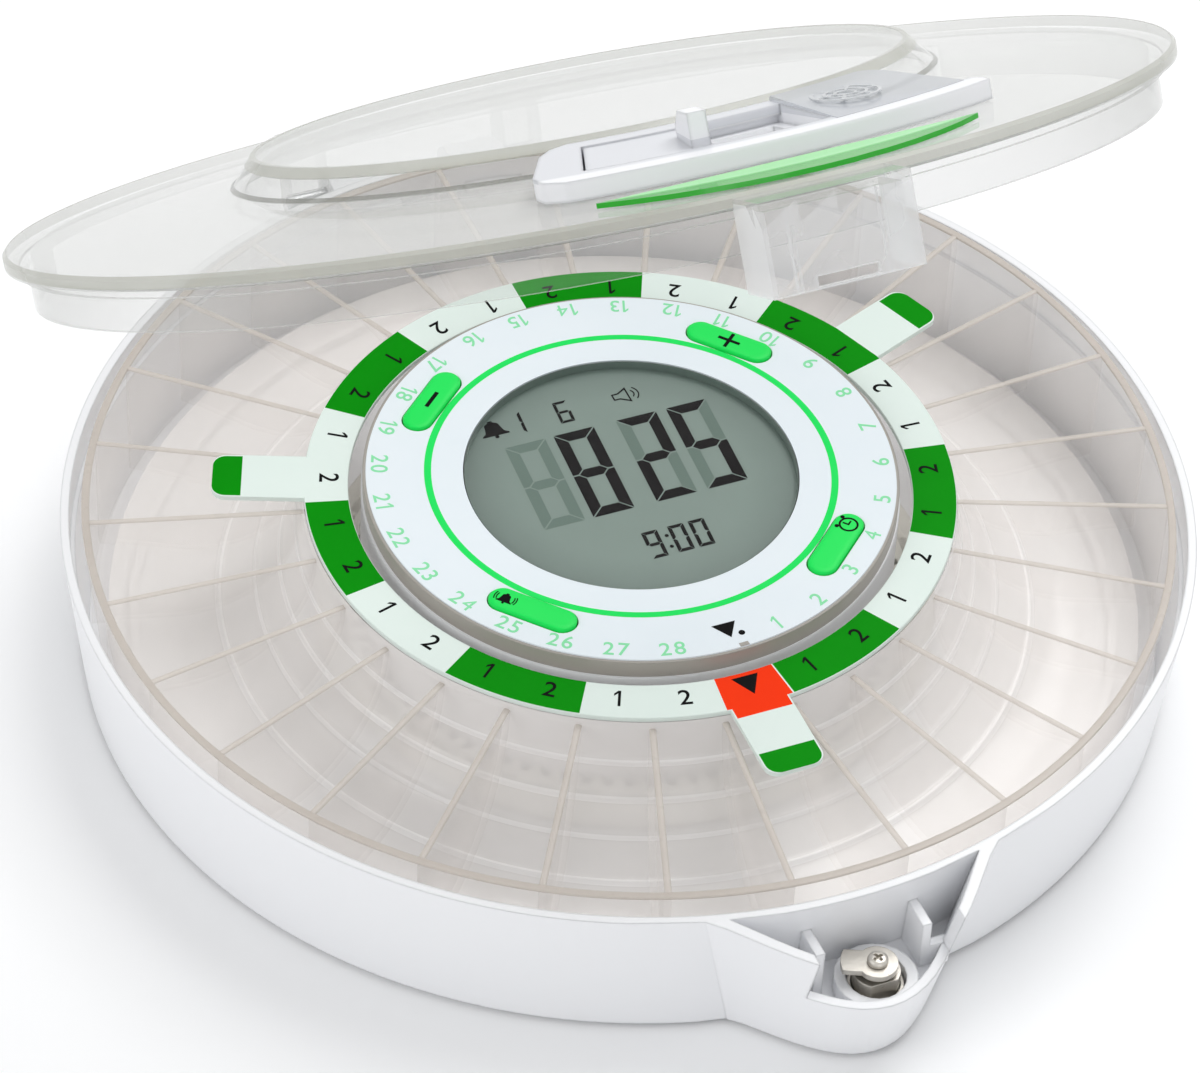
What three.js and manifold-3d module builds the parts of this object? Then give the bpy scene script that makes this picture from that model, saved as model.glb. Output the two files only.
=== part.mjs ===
// Round electronic pill box with a clear 29-cell tray, an electronic centre pod, a locking clear lid and a
// sliding dispensing gate. Millimetres, +Z up, origin on the table under the tray's axis, front towards -Y.
// Angles round the axis are counted from the front, and grow towards +X.

import * as THREE from 'three';
import { mergeVertices } from 'three/addons/utils/BufferGeometryUtils.js';
import Module from 'manifold-3d';

const wasm = await Module();
wasm.setup();

// Driving dimensions of the whole object
const footProud = 0.8;
const rimRadius = 108;
const baseDraft = 3.1;
const baseWallHeight = 30;
const cellCount = 29;
const restOpening = 34;

// Clearances
const runGap = 0.3;
const fitGap = 0.2;
const turnedGap = 0.35;
const overrun = 1;
const weld = 0.0001;

// Base shell
const baseWall = 1.9;
const rimWall = 1.7;
const landDepth = 7.3;
const floorThickness = 2.8;
const podRadius = 51.2;
const podWall = 1.8;
const podHeight = 34;
const coverThickness = 1.6;
const coverLand = 7.3;
const railHeight = 0.5;
const railWidth = 2;
const outerRailInset = 13;

// Lock bay at the front of the base
const bayHalfWidthTop = 28.5;
const bayHalfWidthFoot = 22;
const bayReachTop = 18.9;
const bayReachFoot = 13.8;
const bayWall = 1.9;
const bayFlow = 1.35;
const bayFloorThickness = 1.6;
const bayFloorRise = 11.1;
const bayLowWallDrop = 12.8;
const lockOffset = 0.6;
const cutHalfWidth = 14.2;
const guideThickness = 1.8;
const guideSpread = 10.4;
const guideLength = 5;
const guideRise = 10.8;
const crossBarLength = 5;
const crossBarRise = 4.8;

// Cam lock
const lockReach = 7;
const barrelRadius = 4.3;
const barrelBore = 2.5;
const barrelFlat = 3.4;
const barrelHeadRadius = 5.1;
const barrelHeadThickness = 1.5;
const barrelRise = 5;
const bossWall = 2.1;
const bossRise = 3.5;
const bossRadius = 7.6;
const nutRadius = 5.1;
const nutThickness = 1.8;
const plugProud = 0.9;
const plugSink = 0.6;
const keySlotWidth = 1;
const keySlotLength = 3.4;
const keySlotDepth = 3.8;
const camThickness = 1.2;
const camRadius = 3.7;
const camReach = 6.6;
const camLobeWidth = 5;
const camRestAngle = 155;
const camHoleRadius = 1.2;
const camScrewRadius = 0.95;
const camScrewHead = 2.1;
const camScrewHeadHeight = 1.2;
const camScrewCrown = 1.4;
const camLobeCorner = 1.7;
const camScrewLength = 4;
const recessWidth = 0.7;
const recessDepth = 0.7;

// Tray with its cells
const trayRimGap = 2.4;
const trayDraft = 2.2;
const trayWall = 1.5;
const trayTop = 33;
const trayFloorBottom = 5.8;
const trayFloor = 1.6;
const trayFoot = 1.5;
const dividerThickness = 1.3;
const cellFlat = 15.9;
const deckTop = 34.4;
const deckThickness = 1.6;
const collarGap = 4.2;
const collarWall = 1.6;

// Dosage ring
const ringProud = 6.6;
const ringGap = 2.4;
const ringThickness = 1;
const tabWidth = 11.5;
const tabLength = 17.3;
const tabCorner = 2.6;
const tabStep = 9;

// Toothed turntable and its drive
const gearModule = 1.25;
const ringRoom = 1.3;
const pinionTeeth = 16;
const pressureAngle = 20;
const toothAddendum = 1;
const toothDedendum = 1.3;
const toothBacklash = 0.3;
const turntableProud = 4.6;
const turntableHeight = 4.4;
const driveLugHeight = 2.4;
const driveLugSpan = 8;
const driveLugAngles = [0, 120, 240];
const driveLugPlay = 0.5;
const pinionHeight = 3.8;
const shaftRadius = 1.5;
const shaftLength = 9;
const gearboxWidth = 10;
const gearboxSpan = 12;
const gearboxHeight = 8;
const motorRadius = 5;
const motorHeight = 9.6;
const bracketThickness = 1.2;
const bracketWidth = 9.6;
const bracketSpan = 32.5;
const bracketRise = 5.8;
const bracketPostRadius = 2.2;
const bracketPostSpan = 14;
const pinionWindow = 21.5;
const switchWidth = 10;
const switchDepth = 4.6;
const switchHeight = 6;
const leverWidth = 2;
const leverThickness = 1;
const leverReach = 2.9;

// Display pod
const capGap = 0.3;
const capPlate = 1.6;
const capSkirt = 1.8;
const capHeight = 3.5;
const faceThickness = 0.3;
const faceInset = 0.6;
const windowInset = 10.7;
const windowThickness = 1.8;
const lcdLap = 1.7;
const lcdThickness = 2.2;
const lcdFrameLip = 1.6;
const lcdFrameWall = 5;
const boardGap = 3.4;
const boardThickness = 1.6;
const lcdFrameHeight = 3.3;
const keyInset = 8.5;
const keyAngles = { plus_key: 131, minus_key: -137.7, bell_key: -47.8, clock_key: 42 };
const keyLength = 17.6;
const keyWidth = 5.6;
const keyProud = 0.6;
const keyFlange = 1.2;
const keyFlangeThickness = 1.1;
const keySwitchSize = 6;
const keySwitchClear = 0.7;
const capPostRadius = 2.4;
const capPostAngles = [0, 75, 180, 270];
const boardScrewRadius = 1.1;
const boardScrewHead = 2.1;
const boardScrewHeadHeight = 1.3;
const boardScrewLength = 4.4;
const buzzerRadius = 7;
const buzzerHeight = 4.5;
const buzzerPlace = 31.5;

// Battery bay in the bottom cover
const cellRadius = 7.1;
const batteryCount = 4;
const cellLength = 49.4;
const cellPitch = 14.6;
const cellNub = 2.75;
const cellNubLength = 1.1;
const contactRoom = 2.9;
const contactThickness = 0.5;
const contactWidth = 11;
const springRadius = 3;
const springTip = 2;
const bayRoof = 1.4;
const doorLip = 0.9;
const doorEar = 5;
const doorEarOut = 3.8;
const coverScrewInset = 4.8;
const coverScrewAngles = [22, 158, 202, 338];
const screwRadius = 1.2;
const screwHead = 2.5;
const screwHeadHeight = 1.2;
const screwLength = 7;
const screwBossRadius = 3;
const screwBossHeight = 7;
const leadWidth = 3;
const leadThickness = 1.2;
const leadPlace = 20;

// Feet
const footRadius = 6;
const footInset = 24;
const footAngles = [45, 135, 225, 315];

// Lid
const flangeProud = 1.7;
const flangeTop = 35.5;
const flangeThickness = 2.5;
const stepInset = 0.9;
const lidWall = 1.8;
const domeClear = 4;
const domeSlope = 4.4;
const domeRise = 8.4;
const annulusRise = 3.2;
const skirtGap = 0.6;
const skirtWall = 1.1;
const skirtDrop = 10.7;
const skirtHalfAngle = 118;
const latchHalfWidth = 13.7;
const latchProud = 12.6;
const latchDepth = 16.8;
const latchWall = 1.3;
const latchRibSpread = 8.2;
const latchRibThickness = 0.9;
const latchRibDepth = 1.3;
const latchSlotHalf = 5.6;
const latchSlotRise = 0.4;
const latchSlotHeight = 1.8;

// Hinge behind the base
const hingeReach = 8.6;
const hingeHeight = 20.4;
const knuckleRadius = 4.6;
const pinRadius = 1.5;
const knuckleInner = 7;
const knuckleOuter = 19;
const armWidth = 8;
const armTopProud = 9;

// Dispensing frame, its gate and the front trim
const frameEdgeInset = 16.7;
const frameDomeGap = 1.5;
const frameStart = -25;
const frameEnd = 31;
const frameTaperAngle = 10.8;
const frameCorner = 6;
const frameCornerStep = 2;
const frameOuterHeight = 3.5;
const frameInnerHeight = 4.7;
const frameFloor = 1.2;
const frameTip = 4;
const dispenseInnerShare = 0.145;
const dispenseOuterShare = 0.796;
const dispenseStart = -3.4;
const dispenseEnd = 9;
const spigotWall = 1.1;
const spigotDepth = 1.5;
const gateInnerShare = 0.114;
const gateOuterShare = 0.827;
const gateLip = 1.3;
const gateFlange = 0.8;
const gateStart = -19;
const gateEnd = -4.2;
const gateTravel = 14;
const knobWidth = 3.4;
const knobInnerShare = 0.373;
const knobOuterShare = 0.788;
const knobRise = 6;
const trimInset = 8.2;
const trimBulge = 6.8;
const trimHollow = 4;
const trimHalfAngle = 20.5;
const trimMiddle = 2;
const trimThickness = 0.9;

// Facet counts
const lathedSides = 48;
const traySides = cellCount * 2;
const podSides = 40;
const railSides = 32;
const lockSides = 20;
const smallSides = 16;
const tinySides = 10;
const baySteps = 20;
const sweepSteps = 3;
const cornerSteps = 3;
const frameSteps = 14;
const trimSteps = 12;
const sectorTurn = 30;
const sectorReach = 1.2;

// Heights and radii that follow from the driving dimensions
const baseBottom = footProud;
const rimTop = baseBottom + baseWallHeight;
const landHeight = rimTop - landDepth;
const floorTop = baseBottom + floorThickness;
const podTop = baseBottom + podHeight;
const podInner = podRadius - podWall;
const coverTop = baseBottom + coverThickness;
const collarRadius = podRadius + collarGap;
const ringOuter = collarRadius + ringProud;
const ringInner = podRadius + ringGap;
const turntableOuter = collarRadius + turntableProud;
const capRadius = podRadius - capGap;
const faceRadius = capRadius - faceInset;
const keyRing = capRadius - keyInset;
const windowRadius = keyRing - windowInset;
const lcdRadius = windowRadius + lcdLap;
const lcdFrameRadius = lcdRadius + lcdFrameLip;
const lcdFrameInner = lcdFrameRadius - lcdFrameWall;
const boardRadius = podInner - boardGap;
const coverScrewRing = podRadius - coverScrewInset;
const ringTeeth = Math.round((2 * (podRadius + ringRoom)) / gearModule);
const rimInner = rimRadius - rimWall;
const baseFootRadius = rimRadius - baseDraft;
const outerRailRadius = rimRadius - outerRailInset;
const footRing = rimRadius - footInset;
const lockDistance = rimRadius + lockReach;
const hingeDistance = rimRadius + hingeReach;
const armTopReach = rimRadius + armTopProud;
const latchReach = rimRadius + latchProud;
const flangeRadius = rimRadius + flangeProud;
const stepRadius = rimRadius - stepInset;
const skirtRadius = rimInner - skirtGap;
const trayRadius = rimInner - trayRimGap;
const sweepStart = ringOuter + fitGap * 2;
const sweepReach = trayRadius - cellFlat - sweepStart;
const domeFootRadius = ringOuter + domeClear;
const domeRadius = domeFootRadius - domeSlope;
const frameOuter = flangeRadius - frameEdgeInset;
const frameInner = domeFootRadius + frameDomeGap;
const frameDepth = frameOuter - frameInner;
const dispenseInner = frameInner + frameDepth * dispenseInnerShare;
const dispenseOuter = frameInner + frameDepth * dispenseOuterShare;
const gateInner = frameInner + frameDepth * gateInnerShare;
const gateOuter = frameInner + frameDepth * gateOuterShare;
const knobInner = frameInner + frameDepth * knobInnerShare;
const knobOuter = frameInner + frameDepth * knobOuterShare;
const trimTipRadius = flangeRadius - trimInset;
const pitchAngle = 360 / cellCount;
const ringPitchRadius = (gearModule * ringTeeth) / 2;
const pinionPitchRadius = (gearModule * pinionTeeth) / 2;
const driveDistance = ringPitchRadius - pinionPitchRadius;
const turntableBottom = floorTop + railHeight + runGap;
const turntableTop = turntableBottom + turntableHeight;
const capTop = podTop + capHeight;
const faceTop = capTop + faceThickness;
const capUnder = capTop - capPlate;
const lcdTop = capUnder;
const lcdBottom = lcdTop - lcdThickness;
const boardTop = lcdBottom - lcdFrameHeight;
const boardBottom = boardTop - boardThickness;
const bayFloorTop = baseBottom + bayFloorRise + bayFloorThickness;
const bayLowWall = rimTop - bayLowWallDrop;
const barrelBottom = bayFloorTop - bayFloorThickness - barrelHeadThickness;
const barrelTop = bayFloorTop + barrelRise;
const camBottom = barrelTop + plugProud;
const cellAxis = coverTop + fitGap + cellRadius;
const bayInnerX = cellLength / 2 + contactRoom;
const bayInnerY = (cellPitch * batteryCount) / 2 + fitGap;
const bayRoofUnder = cellAxis + cellRadius + fitGap;
const trayFootRadius = trayRadius - trayDraft;

function radians(degrees) {
  return (degrees * Math.PI) / 180;
}

function polar(radius, degrees) {
  return [radius * Math.sin(radians(degrees)), -radius * Math.cos(radians(degrees))];
}

function baseRadiusAt(height) {
  return baseFootRadius + ((rimRadius - baseFootRadius) * (height - baseBottom)) / baseWallHeight;
}

// Top of the lid's flat cone, which falls from the dome's foot to the flange
function coneTopAt(radius) {
  return flangeTop + (annulusRise * (flangeRadius - radius)) / (flangeRadius - domeFootRadius);
}

// Closed geometry as a boolean solid, turned right side out
function solidOf(geometry) {
  const bare = geometry.index ? geometry.toNonIndexed() : geometry.clone();
  bare.deleteAttribute('normal');
  bare.deleteAttribute('uv');
  const merged = mergeVertices(bare, weld);
  const vertices = merged.attributes.position.array;
  const triangles = [];
  let volume = 0;
  const a = new THREE.Vector3();
  const b = new THREE.Vector3();
  const c = new THREE.Vector3();
  for (let i = 0; i < merged.index.count; i += 3) {
    const [p, q, r] = [merged.index.getX(i), merged.index.getX(i + 1), merged.index.getX(i + 2)];
    if (p === q || q === r || r === p) continue;
    triangles.push([p, q, r]);
    a.fromArray(vertices, p * 3);
    b.fromArray(vertices, q * 3);
    c.fromArray(vertices, r * 3);
    volume += a.dot(b.cross(c));
  }
  const ordered = volume < 0 ? triangles.map(([p, q, r]) => [p, r, q]) : triangles;
  return new wasm.Manifold(
    new wasm.Mesh({
      numProp: 3,
      vertProperties: new Float32Array(vertices),
      triVerts: new Uint32Array(ordered.flat()),
    }),
  );
}

function geometryOf(solid) {
  const mesh = solid.getMesh();
  const geometry = new THREE.BufferGeometry();
  geometry.setAttribute('position', new THREE.BufferAttribute(new Float32Array(mesh.vertProperties), 3));
  geometry.setIndex(new THREE.BufferAttribute(new Uint32Array(mesh.triVerts), 1));
  geometry.computeVertexNormals();
  return geometry;
}

function join(solids) {
  return solids.reduce((sum, solid) => sum.add(solid));
}

function cut(body, tools) {
  return tools.reduce((rest, tool) => rest.subtract(tool), body);
}

// Solid of revolution about Z from [radius, height] points; an outline off the axis closes on itself
function revolve(points, sides = lathedSides, startDegrees = 0) {
  const outline = points.map(([radius, height]) => new THREE.Vector2(radius, height));
  const onAxis = outline[0].x === 0 && outline[outline.length - 1].x === 0;
  if (!onAxis) outline.push(outline[0].clone());
  const geometry = new THREE.LatheGeometry(outline, sides, radians(startDegrees), Math.PI * 2);
  return solidOf(geometry.rotateX(Math.PI / 2));
}

function disc(radius, bottom, top, sides = lathedSides) {
  return revolve([[0, bottom], [radius, bottom], [radius, top], [0, top]], sides);
}

function tube(inner, outer, bottom, top, sides = lathedSides, startDegrees = 0) {
  return revolve([[inner, bottom], [outer, bottom], [outer, top], [inner, top]], sides, startDegrees);
}

function shapeOf(points) {
  return new THREE.Shape(points.map(([x, y]) => new THREE.Vector2(x, y)));
}

// Upright prism from a plan outline
function prism(points, bottom, top) {
  const geometry = new THREE.ExtrudeGeometry(shapeOf(points), { depth: top - bottom, bevelEnabled: false });
  return solidOf(geometry.translate(0, 0, bottom));
}

function box(x0, x1, y0, y1, z0, z1) {
  const geometry = new THREE.BoxGeometry(x1 - x0, y1 - y0, z1 - z0);
  return solidOf(geometry.translate((x0 + x1) / 2, (y0 + y1) / 2, (z0 + z1) / 2));
}

// Plate lying in a YZ plane, from [y, z] points, between two X places
function sidePlate(points, x0, x1) {
  const geometry = new THREE.ExtrudeGeometry(shapeOf(points), { depth: x1 - x0, bevelEnabled: false });
  const turn = new THREE.Matrix4().makeBasis(
    new THREE.Vector3(0, 1, 0),
    new THREE.Vector3(0, 0, 1),
    new THREE.Vector3(1, 0, 0),
  );
  return solidOf(geometry.applyMatrix4(turn).translate(x0, 0, 0));
}

// Upright plate standing along a radius, from [radius, height] points
function radialPlate(points, thickness, degrees) {
  const geometry = new THREE.ExtrudeGeometry(shapeOf(points), { depth: thickness, bevelEnabled: false });
  const turn = new THREE.Matrix4().makeBasis(
    new THREE.Vector3(0, -1, 0),
    new THREE.Vector3(0, 0, 1),
    new THREE.Vector3(-1, 0, 0),
  );
  geometry.applyMatrix4(turn).translate(thickness / 2, 0, 0).rotateZ(radians(degrees));
  return solidOf(geometry);
}

function arcPoints(radius, from, to, steps) {
  return Array.from({ length: steps + 1 }, (_, i) => polar(radius, from + ((to - from) * i) / steps));
}

// Part of a solid of revolution between two angles
function sector(points, from, to, sides = lathedSides) {
  const reach = Math.max(...points.map(([radius]) => radius)) * sectorReach;
  const heights = points.map(([, height]) => height);
  const steps = Math.max(2, Math.ceil((to - from) / sectorTurn));
  const pie = prism(
    [[0, 0], ...arcPoints(reach, from, to, steps)],
    Math.min(...heights) - overrun,
    Math.max(...heights) + overrun,
  );
  return revolve(points, sides).intersect(pie);
}

// Closed solid between two plan outlines with equally many points
function loft(lower, upper, bottom, top) {
  const count = lower.length;
  const place = ([x, y], z) => [x, y, z];
  const faces = THREE.ShapeUtils.triangulateShape(shapeOf(lower).getPoints(), []);
  const corners = [];
  for (const [p, q, r] of faces) {
    corners.push(place(lower[p], bottom), place(lower[r], bottom), place(lower[q], bottom));
    corners.push(place(upper[p], top), place(upper[q], top), place(upper[r], top));
  }
  for (let i = 0; i < count; i += 1) {
    const k = (i + 1) % count;
    corners.push(place(lower[i], bottom), place(lower[k], bottom), place(upper[k], top));
    corners.push(place(lower[i], bottom), place(upper[k], top), place(upper[i], top));
  }
  const geometry = new THREE.BufferGeometry();
  geometry.setAttribute('position', new THREE.Float32BufferAttribute(corners.flat(), 3));
  return solidOf(geometry);
}

function roundedRectangle(width, depth, corner, centreX, centreY) {
  const shape = new THREE.Shape();
  const [x0, x1] = [centreX - width / 2, centreX + width / 2];
  const [y0, y1] = [centreY - depth / 2, centreY + depth / 2];
  shape.moveTo(x0 + corner, y0);
  shape.lineTo(x1 - corner, y0);
  shape.absarc(x1 - corner, y0 + corner, corner, -Math.PI / 2, 0);
  shape.lineTo(x1, y1 - corner);
  shape.absarc(x1 - corner, y1 - corner, corner, 0, Math.PI / 2);
  shape.lineTo(x0 + corner, y1);
  shape.absarc(x0 + corner, y1 - corner, corner, Math.PI / 2, Math.PI);
  shape.lineTo(x0, y0 + corner);
  shape.absarc(x0 + corner, y0 + corner, corner, Math.PI, Math.PI * 1.5);
  return mergedOutline(shape.getPoints(cornerSteps));
}

function mergedOutline(points) {
  const kept = points.filter((point, i) => i === 0 || point.distanceTo(points[i - 1]) > weld);
  if (kept[0].distanceTo(kept[kept.length - 1]) < weld) kept.pop();
  return kept.map((point) => [point.x, point.y]);
}

function moved(solid, x, y, z = 0) {
  return solid.translate([x, y, z]);
}

function turned(solid, degrees) {
  return solid.rotate([0, 0, degrees]);
}

const finishes = {
  whiteShell: { color: 0xe9ebee, roughness: 0.42, metalness: 0 },
  clearPlastic: { color: 0xdfe3e2, roughness: 0.08, metalness: 0, transparent: true, opacity: 0.35 },
  greenPrint: { color: 0x08a818, roughness: 0.4, metalness: 0 },
  greenKey: { color: 0x2fe67a, roughness: 0.5, metalness: 0 },
  paleLabel: { color: 0xe6f3ec, roughness: 0.45, metalness: 0 },
  faceSheet: { color: 0xe8f0f5, roughness: 0.4, metalness: 0 },
  lcdGrey: { color: 0x828f88, roughness: 0.2, metalness: 0 },
  nickel: { color: 0xb9b7af, roughness: 0.28, metalness: 1 },
  steel: { color: 0xc4c6c8, roughness: 0.3, metalness: 1 },
  rubber: { color: 0x2a2b2c, roughness: 0.85, metalness: 0 },
  circuit: { color: 0x1c6a3c, roughness: 0.5, metalness: 0 },
  blackPlastic: { color: 0x1e1f21, roughness: 0.55, metalness: 0 },
  pom: { color: 0xf3f1e8, roughness: 0.5, metalness: 0 },
  battery: { color: 0x30343a, roughness: 0.35, metalness: 0.3 },
};

function piece(name, solid, finish) {
  const mesh = new THREE.Mesh(geometryOf(solid), new THREE.MeshStandardMaterial(finishes[finish]));
  mesh.name = name;
  return mesh;
}

// Lock bay

// Plan outline of the bay: the base's circle with a smooth bump in front of it
function bayOutline(circle, halfWidth, reach, back) {
  const points = [];
  for (let i = 0; i <= baySteps; i += 1) {
    const share = (2 * i) / baySteps - 1;
    const x = halfWidth * share;
    const bump = reach * (1 - share * share) ** bayFlow;
    points.push([x, -Math.sqrt(circle * circle - x * x) - bump]);
  }
  points.push([halfWidth, -back], [-halfWidth, -back]);
  return points;
}

function bayBlock(inset, bottom, top) {
  const back = podRadius + coverLand;
  const outlineAt = (height) => {
    const share = (height - baseBottom) / baseWallHeight;
    const halfWidth = bayHalfWidthFoot + (bayHalfWidthTop - bayHalfWidthFoot) * share - inset;
    const reach = bayReachFoot + (bayReachTop - bayReachFoot) * share;
    return bayOutline(baseRadiusAt(height) - inset, halfWidth, reach, back);
  };
  return loft(outlineAt(bottom), outlineAt(top), bottom, top);
}

function lockBay() {
  const upperRoom = bayBlock(bayWall, bayFloorTop, rimTop + overrun);
  const lowerRoom = bayBlock(bayWall, baseBottom - overrun, bayFloorTop - bayFloorThickness);
  const frontCut = box(
    lockOffset - cutHalfWidth,
    lockOffset + cutHalfWidth,
    -rimRadius - bayReachTop * 2,
    -rimRadius,
    bayLowWall,
    rimTop + overrun,
  );
  const shell = cut(bayBlock(0, baseBottom, rimTop), [upperRoom, lowerRoom, frontCut]);
  const bossRoot = bayFloorTop - bayFloorThickness / 2;
  const bossRing = tube(bossRadius - bossWall, bossRadius, bossRoot, bayFloorTop + bossRise, lockSides);
  const boss = moved(bossRing, lockOffset, -lockDistance).intersect(bayBlock(bayWall / 2, baseBottom, rimTop));
  const wallAtFloor = baseRadiusAt(bayFloorTop) - baseWall / 2;
  const guides = [-1, 1].map((side) => {
    const middle = lockOffset + side * guideSpread;
    const back = -Math.sqrt(wallAtFloor * wallAtFloor - middle * middle);
    return box(
      middle - guideThickness / 2,
      middle + guideThickness / 2,
      -rimRadius - guideLength,
      back,
      bayFloorTop - bayFloorThickness / 2,
      bayFloorTop + guideRise,
    );
  });
  const barStart = lockOffset + guideSpread;
  const crossBar = box(
    barStart,
    barStart + crossBarLength,
    -rimRadius - guideLength,
    -rimRadius - guideLength + guideThickness,
    bayFloorTop - bayFloorThickness / 2,
    bayFloorTop + crossBarRise,
  );
  const middleOfWall = revolve([
    [0, baseBottom - overrun * 2],
    [baseRadiusAt(baseBottom) - baseWall / 2, baseBottom - overrun * 2],
    [baseRadiusAt(rimTop) - rimWall / 2, rimTop + overrun * 2],
    [0, rimTop + overrun * 2],
  ]);
  return join([shell, boss, ...guides, crossBar]).subtract(middleOfWall);
}

// Base shell with pod wall, rails, bosses and hinge knuckles
function baseShell() {
  const body = revolve([
    [podInner, floorTop],
    [podInner, podTop],
    [podRadius, podTop],
    [podRadius, floorTop],
    [baseRadiusAt(floorTop) - baseWall, floorTop],
    [baseRadiusAt(landHeight) - baseWall, landHeight],
    [rimInner, landHeight],
    [rimInner, rimTop],
    [rimRadius, rimTop],
    [baseFootRadius, baseBottom],
    [podRadius + fitGap, baseBottom],
    [podRadius + fitGap, coverTop],
    [podInner - coverLand + podWall, coverTop],
    [podInner - coverLand + podWall, floorTop],
  ]);
  const rails = [
    tube(
      turntableOuter - railWidth * 2,
      turntableOuter - railWidth,
      floorTop - railHeight,
      floorTop + railHeight,
      railSides,
    ),
    tube(
      outerRailRadius - railWidth / 2,
      outerRailRadius + railWidth / 2,
      floorTop - railHeight,
      trayFloorBottom - runGap,
      railSides,
    ),
  ];
  const screwBosses = coverScrewAngles.map((angle) => {
    const [x, y] = polar(coverScrewRing, angle);
    return moved(disc(screwBossRadius, coverTop, coverTop + screwBossHeight, smallSides), x, y);
  });
  const screwHoles = coverScrewAngles.map((angle) => {
    const [x, y] = polar(coverScrewRing, angle);
    return moved(disc(screwRadius + fitGap, baseBottom, coverTop + screwBossHeight - overrun, tinySides), x, y);
  });
  const bracketPosts = [-1, 1].map((side) =>
    moved(
      disc(bracketPostRadius, floorTop - overrun, floorTop + bracketRise, smallSides),
      driveDistance + bracketPostRadius - fitGap * 2,
      side * bracketPostSpan,
    ),
  );
  const knuckleLeg = knuckleRadius + overrun * 2;
  const knuckles = [-1, 1].map((side) => {
    const edges = [side * knuckleInner, side * knuckleOuter].sort((a, b) => a - b);
    const barrel = Array.from({ length: smallSides / 2 + 1 }, (_, i) => {
      const turn = Math.PI / 2 - (Math.PI * i) / (smallSides / 2);
      return [hingeDistance + knuckleRadius * Math.cos(turn), hingeHeight + knuckleRadius * Math.sin(turn)];
    });
    const wallPlace = baseRadiusAt(hingeHeight) - baseWall / 2 - overrun * 2;
    const outline = [
      [wallPlace, hingeHeight + knuckleRadius],
      ...barrel,
      [wallPlace, hingeHeight - knuckleLeg],
    ];
    return sidePlate(outline, ...edges);
  });
  const insideOfWall = revolve([
    [0, floorTop],
    [baseRadiusAt(floorTop) - baseWall / 2, floorTop],
    [baseRadiusAt(landHeight) - baseWall / 2, landHeight],
    [0, landHeight],
  ]);
  const pinBore = hingeRod(pinRadius + turnedGap, knuckleOuter + overrun);
  const knuckleSolids = knuckles.map((knuckle) => cut(knuckle, [insideOfWall, pinBore]));
  const pinionOpening = box(
    podInner - podWall,
    podRadius + fitGap,
    -pinionWindow / 2,
    pinionWindow / 2,
    floorTop,
    turntableTop + runGap * 2,
  );
  const leverBottom = turntableBottom + turntableHeight / 2 - leverThickness;
  const leverOpening = box(
    -podRadius - fitGap,
    -podInner + podWall,
    -leverWidth / 2 - runGap,
    leverWidth / 2 + runGap,
    leverBottom - runGap,
    leverBottom + leverThickness + runGap,
  );
  const holeTop = bayFloorTop + overrun;
  const roundHole = disc(barrelRadius + fitGap, barrelBottom, holeTop, lockSides);
  const flatHole = roundHole.intersect(betweenFlats(fitGap, barrelBottom, holeTop));
  const lockHole = moved(flatHole, lockOffset, -lockDistance);
  const joined = join([body, ...rails, ...screwBosses, ...bracketPosts, ...knuckleSolids, lockBay()]);
  return cut(joined, [...screwHoles, pinionOpening, leverOpening, lockHole]);
}

function footPlaces() {
  return footAngles.map((angle) => polar(footRing, angle));
}

// Round rod along X through the hinge, reaching equally to both sides
function hingeRod(radius, halfLength) {
  const outline = Array.from({ length: smallSides }, (_, i) => {
    const turn = (2 * Math.PI * i) / smallSides;
    return [hingeDistance + radius * Math.cos(turn), hingeHeight + radius * Math.sin(turn)];
  });
  return sidePlate(outline, -halfLength, halfLength);
}

// Bottom cover with the battery bay, and the parts in it

function doorOutlineSolid(inset, bottom, top) {
  const [halfX, halfY] = [bayInnerX + doorLip - inset, bayInnerY + doorLip - inset];
  const plate = box(-halfX, halfX, -halfY, halfY, bottom, top);
  const ear = moved(disc(doorEar - inset, bottom, top, smallSides), 0, bayInnerY + doorEarOut);
  return plate.add(ear);
}

function bottomCover() {
  const plate = disc(podRadius, baseBottom, coverTop, lathedSides);
  const [outerX, outerY] = [bayInnerX + bayRoof, bayInnerY + bayRoof];
  const housing = box(-outerX, outerX, -outerY, outerY, baseBottom, bayRoofUnder + bayRoof);
  const room = box(-bayInnerX, bayInnerX, -bayInnerY, bayInnerY, baseBottom - overrun, bayRoofUnder);
  const earPlace = bayInnerY + doorEarOut;
  const boss = moved(disc(screwBossRadius, coverTop, coverTop + screwBossHeight, smallSides), 0, earPlace);
  const web = box(-screwBossRadius / 2, screwBossRadius / 2, bayInnerY + bayRoof / 2, earPlace, coverTop,
    coverTop + screwBossHeight);
  const doorScrewHole = moved(
    disc(screwRadius + fitGap, coverTop - overrun, coverTop + screwBossHeight - overrun, tinySides),
    0,
    earPlace,
  );
  const screwSeats = coverScrewAngles.flatMap((angle) => {
    const [x, y] = polar(coverScrewRing, angle);
    return [
      moved(disc(screwHead + fitGap, baseBottom - overrun, baseBottom + screwHeadHeight, smallSides), x, y),
      moved(disc(screwRadius + fitGap, baseBottom - overrun, coverTop + overrun, tinySides), x, y),
    ];
  });
  const doorway = doorOutlineSolid(0, baseBottom - overrun, coverTop + overrun);
  const doorSeat = doorOutlineSolid(0, baseBottom - overrun, coverTop);
  const joined = join([plate.subtract(doorway), cut(housing, [room, doorSeat]), boss, web]);
  return cut(joined, [room, doorScrewHole, ...screwSeats]);
}

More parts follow.
